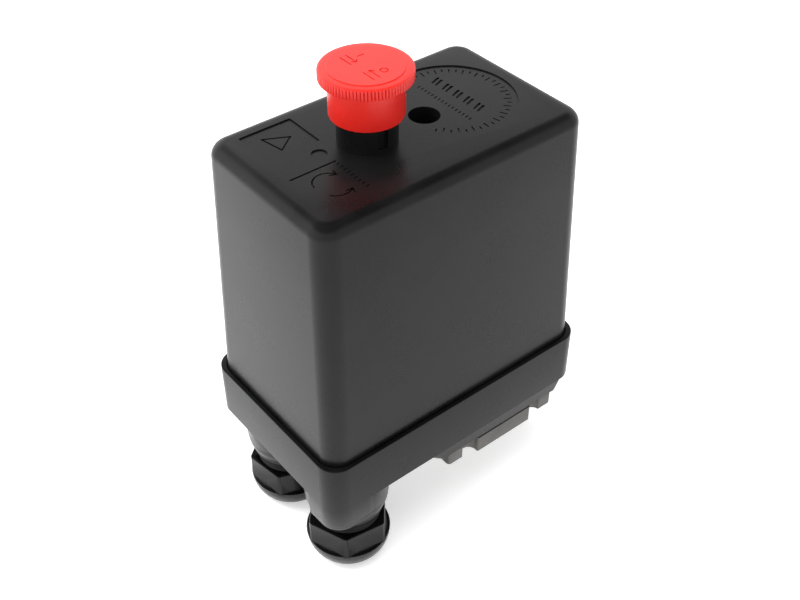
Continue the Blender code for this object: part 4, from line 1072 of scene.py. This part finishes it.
def kept_nodes():
    levers = ("frame_bracket", "rocker", "spring_seat", "trip_lever", "cover_post")
    for node in (*levers, "range_nut", "differential_nut"):
        keep_node(node, SHEET_STEEL)
    for index in range(1, 5):
        keep_node(f"fixed_contact_{index}", BRASS, 0.12 * MM)
    for side in SIDES:
        keep_node(f"contact_bridge_{side}", BRASS, 0.12 * MM)
    keep_node("pivot_pin", SCREW_STEEL)
    keep_node("piston", CAST)
    keep_node("diaphragm", RUBBER)
    keep_node("terminal_block", PHENOLIC, 0.3 * MM)
    keep_node("contact_carrier", NYLON, 0.3 * MM)


# ---------------------------------------------------------------- camera, floor and light
def camera():
    data = bpy.data.cameras.new("camera")
    data.sensor_width = 36.0
    data.lens = 50.55
    data.shift_x = 0.0
    data.shift_y = 0.00375
    data.clip_start = 0.01
    data.clip_end = 20.0
    obj = bpy.data.objects.new("camera", data)
    obj.location = (-0.1760, -0.1948, 0.2768)
    obj.rotation_euler = (math.radians(49.051), 0.0, math.radians(-38.854))
    bpy.context.scene.collection.objects.link(obj)
    bpy.context.scene.camera = obj


def lamp(name, place, target, size, power):
    """A softbox that lights the floor and the object, but isn't mirrored in them."""
    data = bpy.data.lights.new(name, "AREA")
    data.shape = "RECTANGLE"
    data.size, data.size_y = size
    data.energy = power
    obj = bpy.data.objects.new(name, data)
    obj.location = place
    obj.rotation_euler = (Vector(place) - Vector(target)).to_track_quat("Z", "Y").to_euler()
    obj.visible_glossy = False
    bpy.context.scene.collection.objects.link(obj)


def surroundings():
    """Bright low walls, brighter to the left, under a dark ceiling; plain white behind the object."""
    world = bpy.data.worlds.new("studio")
    bpy.context.scene.world = world
    air = Surface(world, "Background")
    way = air.add("ShaderNodeTexCoord", output="Generated")
    height = air.add("ShaderNodeSeparateXYZ", None, {0: way}, output="Z")
    left = (-0.67, 0.74, 0.0)
    leftward = air.add("ShaderNodeVectorMath", {"operation": "DOT_PRODUCT"}, {0: way, 1: left}, "Value")
    walls = height.band(0.58, 0.74, 1.4, 0.0) * leftward.band(0.0, 0.8, 0.8, 1.3)
    seen = air.add("ShaderNodeLightPath", output="Is Camera Ray")
    strength = (walls + 0.03) * (1.0 - seen) + seen
    air.feed(air.shader.inputs["Color"], (1.0, 1.0, 1.0))
    air.feed(air.shader.inputs["Strength"], strength)


def studio():
    floor = shaped("floor", lambda shape: bmesh.ops.create_grid(shape, x_segments=1, y_segments=1, size=4.0))
    floor.location = (0.0, 0.0, cad_bounds[0].z - 0.05 * MM)
    pale = Surface("pale_floor", Roughness=0.9, Emission_Strength=0.45)
    tone = pale.noise(3.0, 2.0)
    pale.colour(pale.mix(tone, (0.84, 0.84, 0.84), (0.87, 0.87, 0.87)))
    pale.feed(pale.shader.inputs["Emission Color"], (1.0, 1.0, 1.0))
    pale.feed(pale.shader.inputs["Specular IOR Level"], 0.0)
    floor.data.materials.append(pale.material)
    surroundings()
    target = (-0.02, 0.0, 0.06)
    lamp("overhead softbox", (-0.1, -0.05, 0.9), target, (0.7, 0.7), 7.0)
    lamp("left floor softbox", (-0.38, 0.38, 0.55), (-0.25, 0.25, 0.0), (0.4, 0.4), 4.0)
    view = bpy.context.scene.view_settings
    view.view_transform = "Standard"
    view.look = "None"
    view.exposure = 0.0


camera()
housing_base()
cover_shell()
knob_cap()
for gland_side in SIDES:
    gland_cap(gland_side)
tank_flange()
screws()
springs()
kept_nodes()
studio()
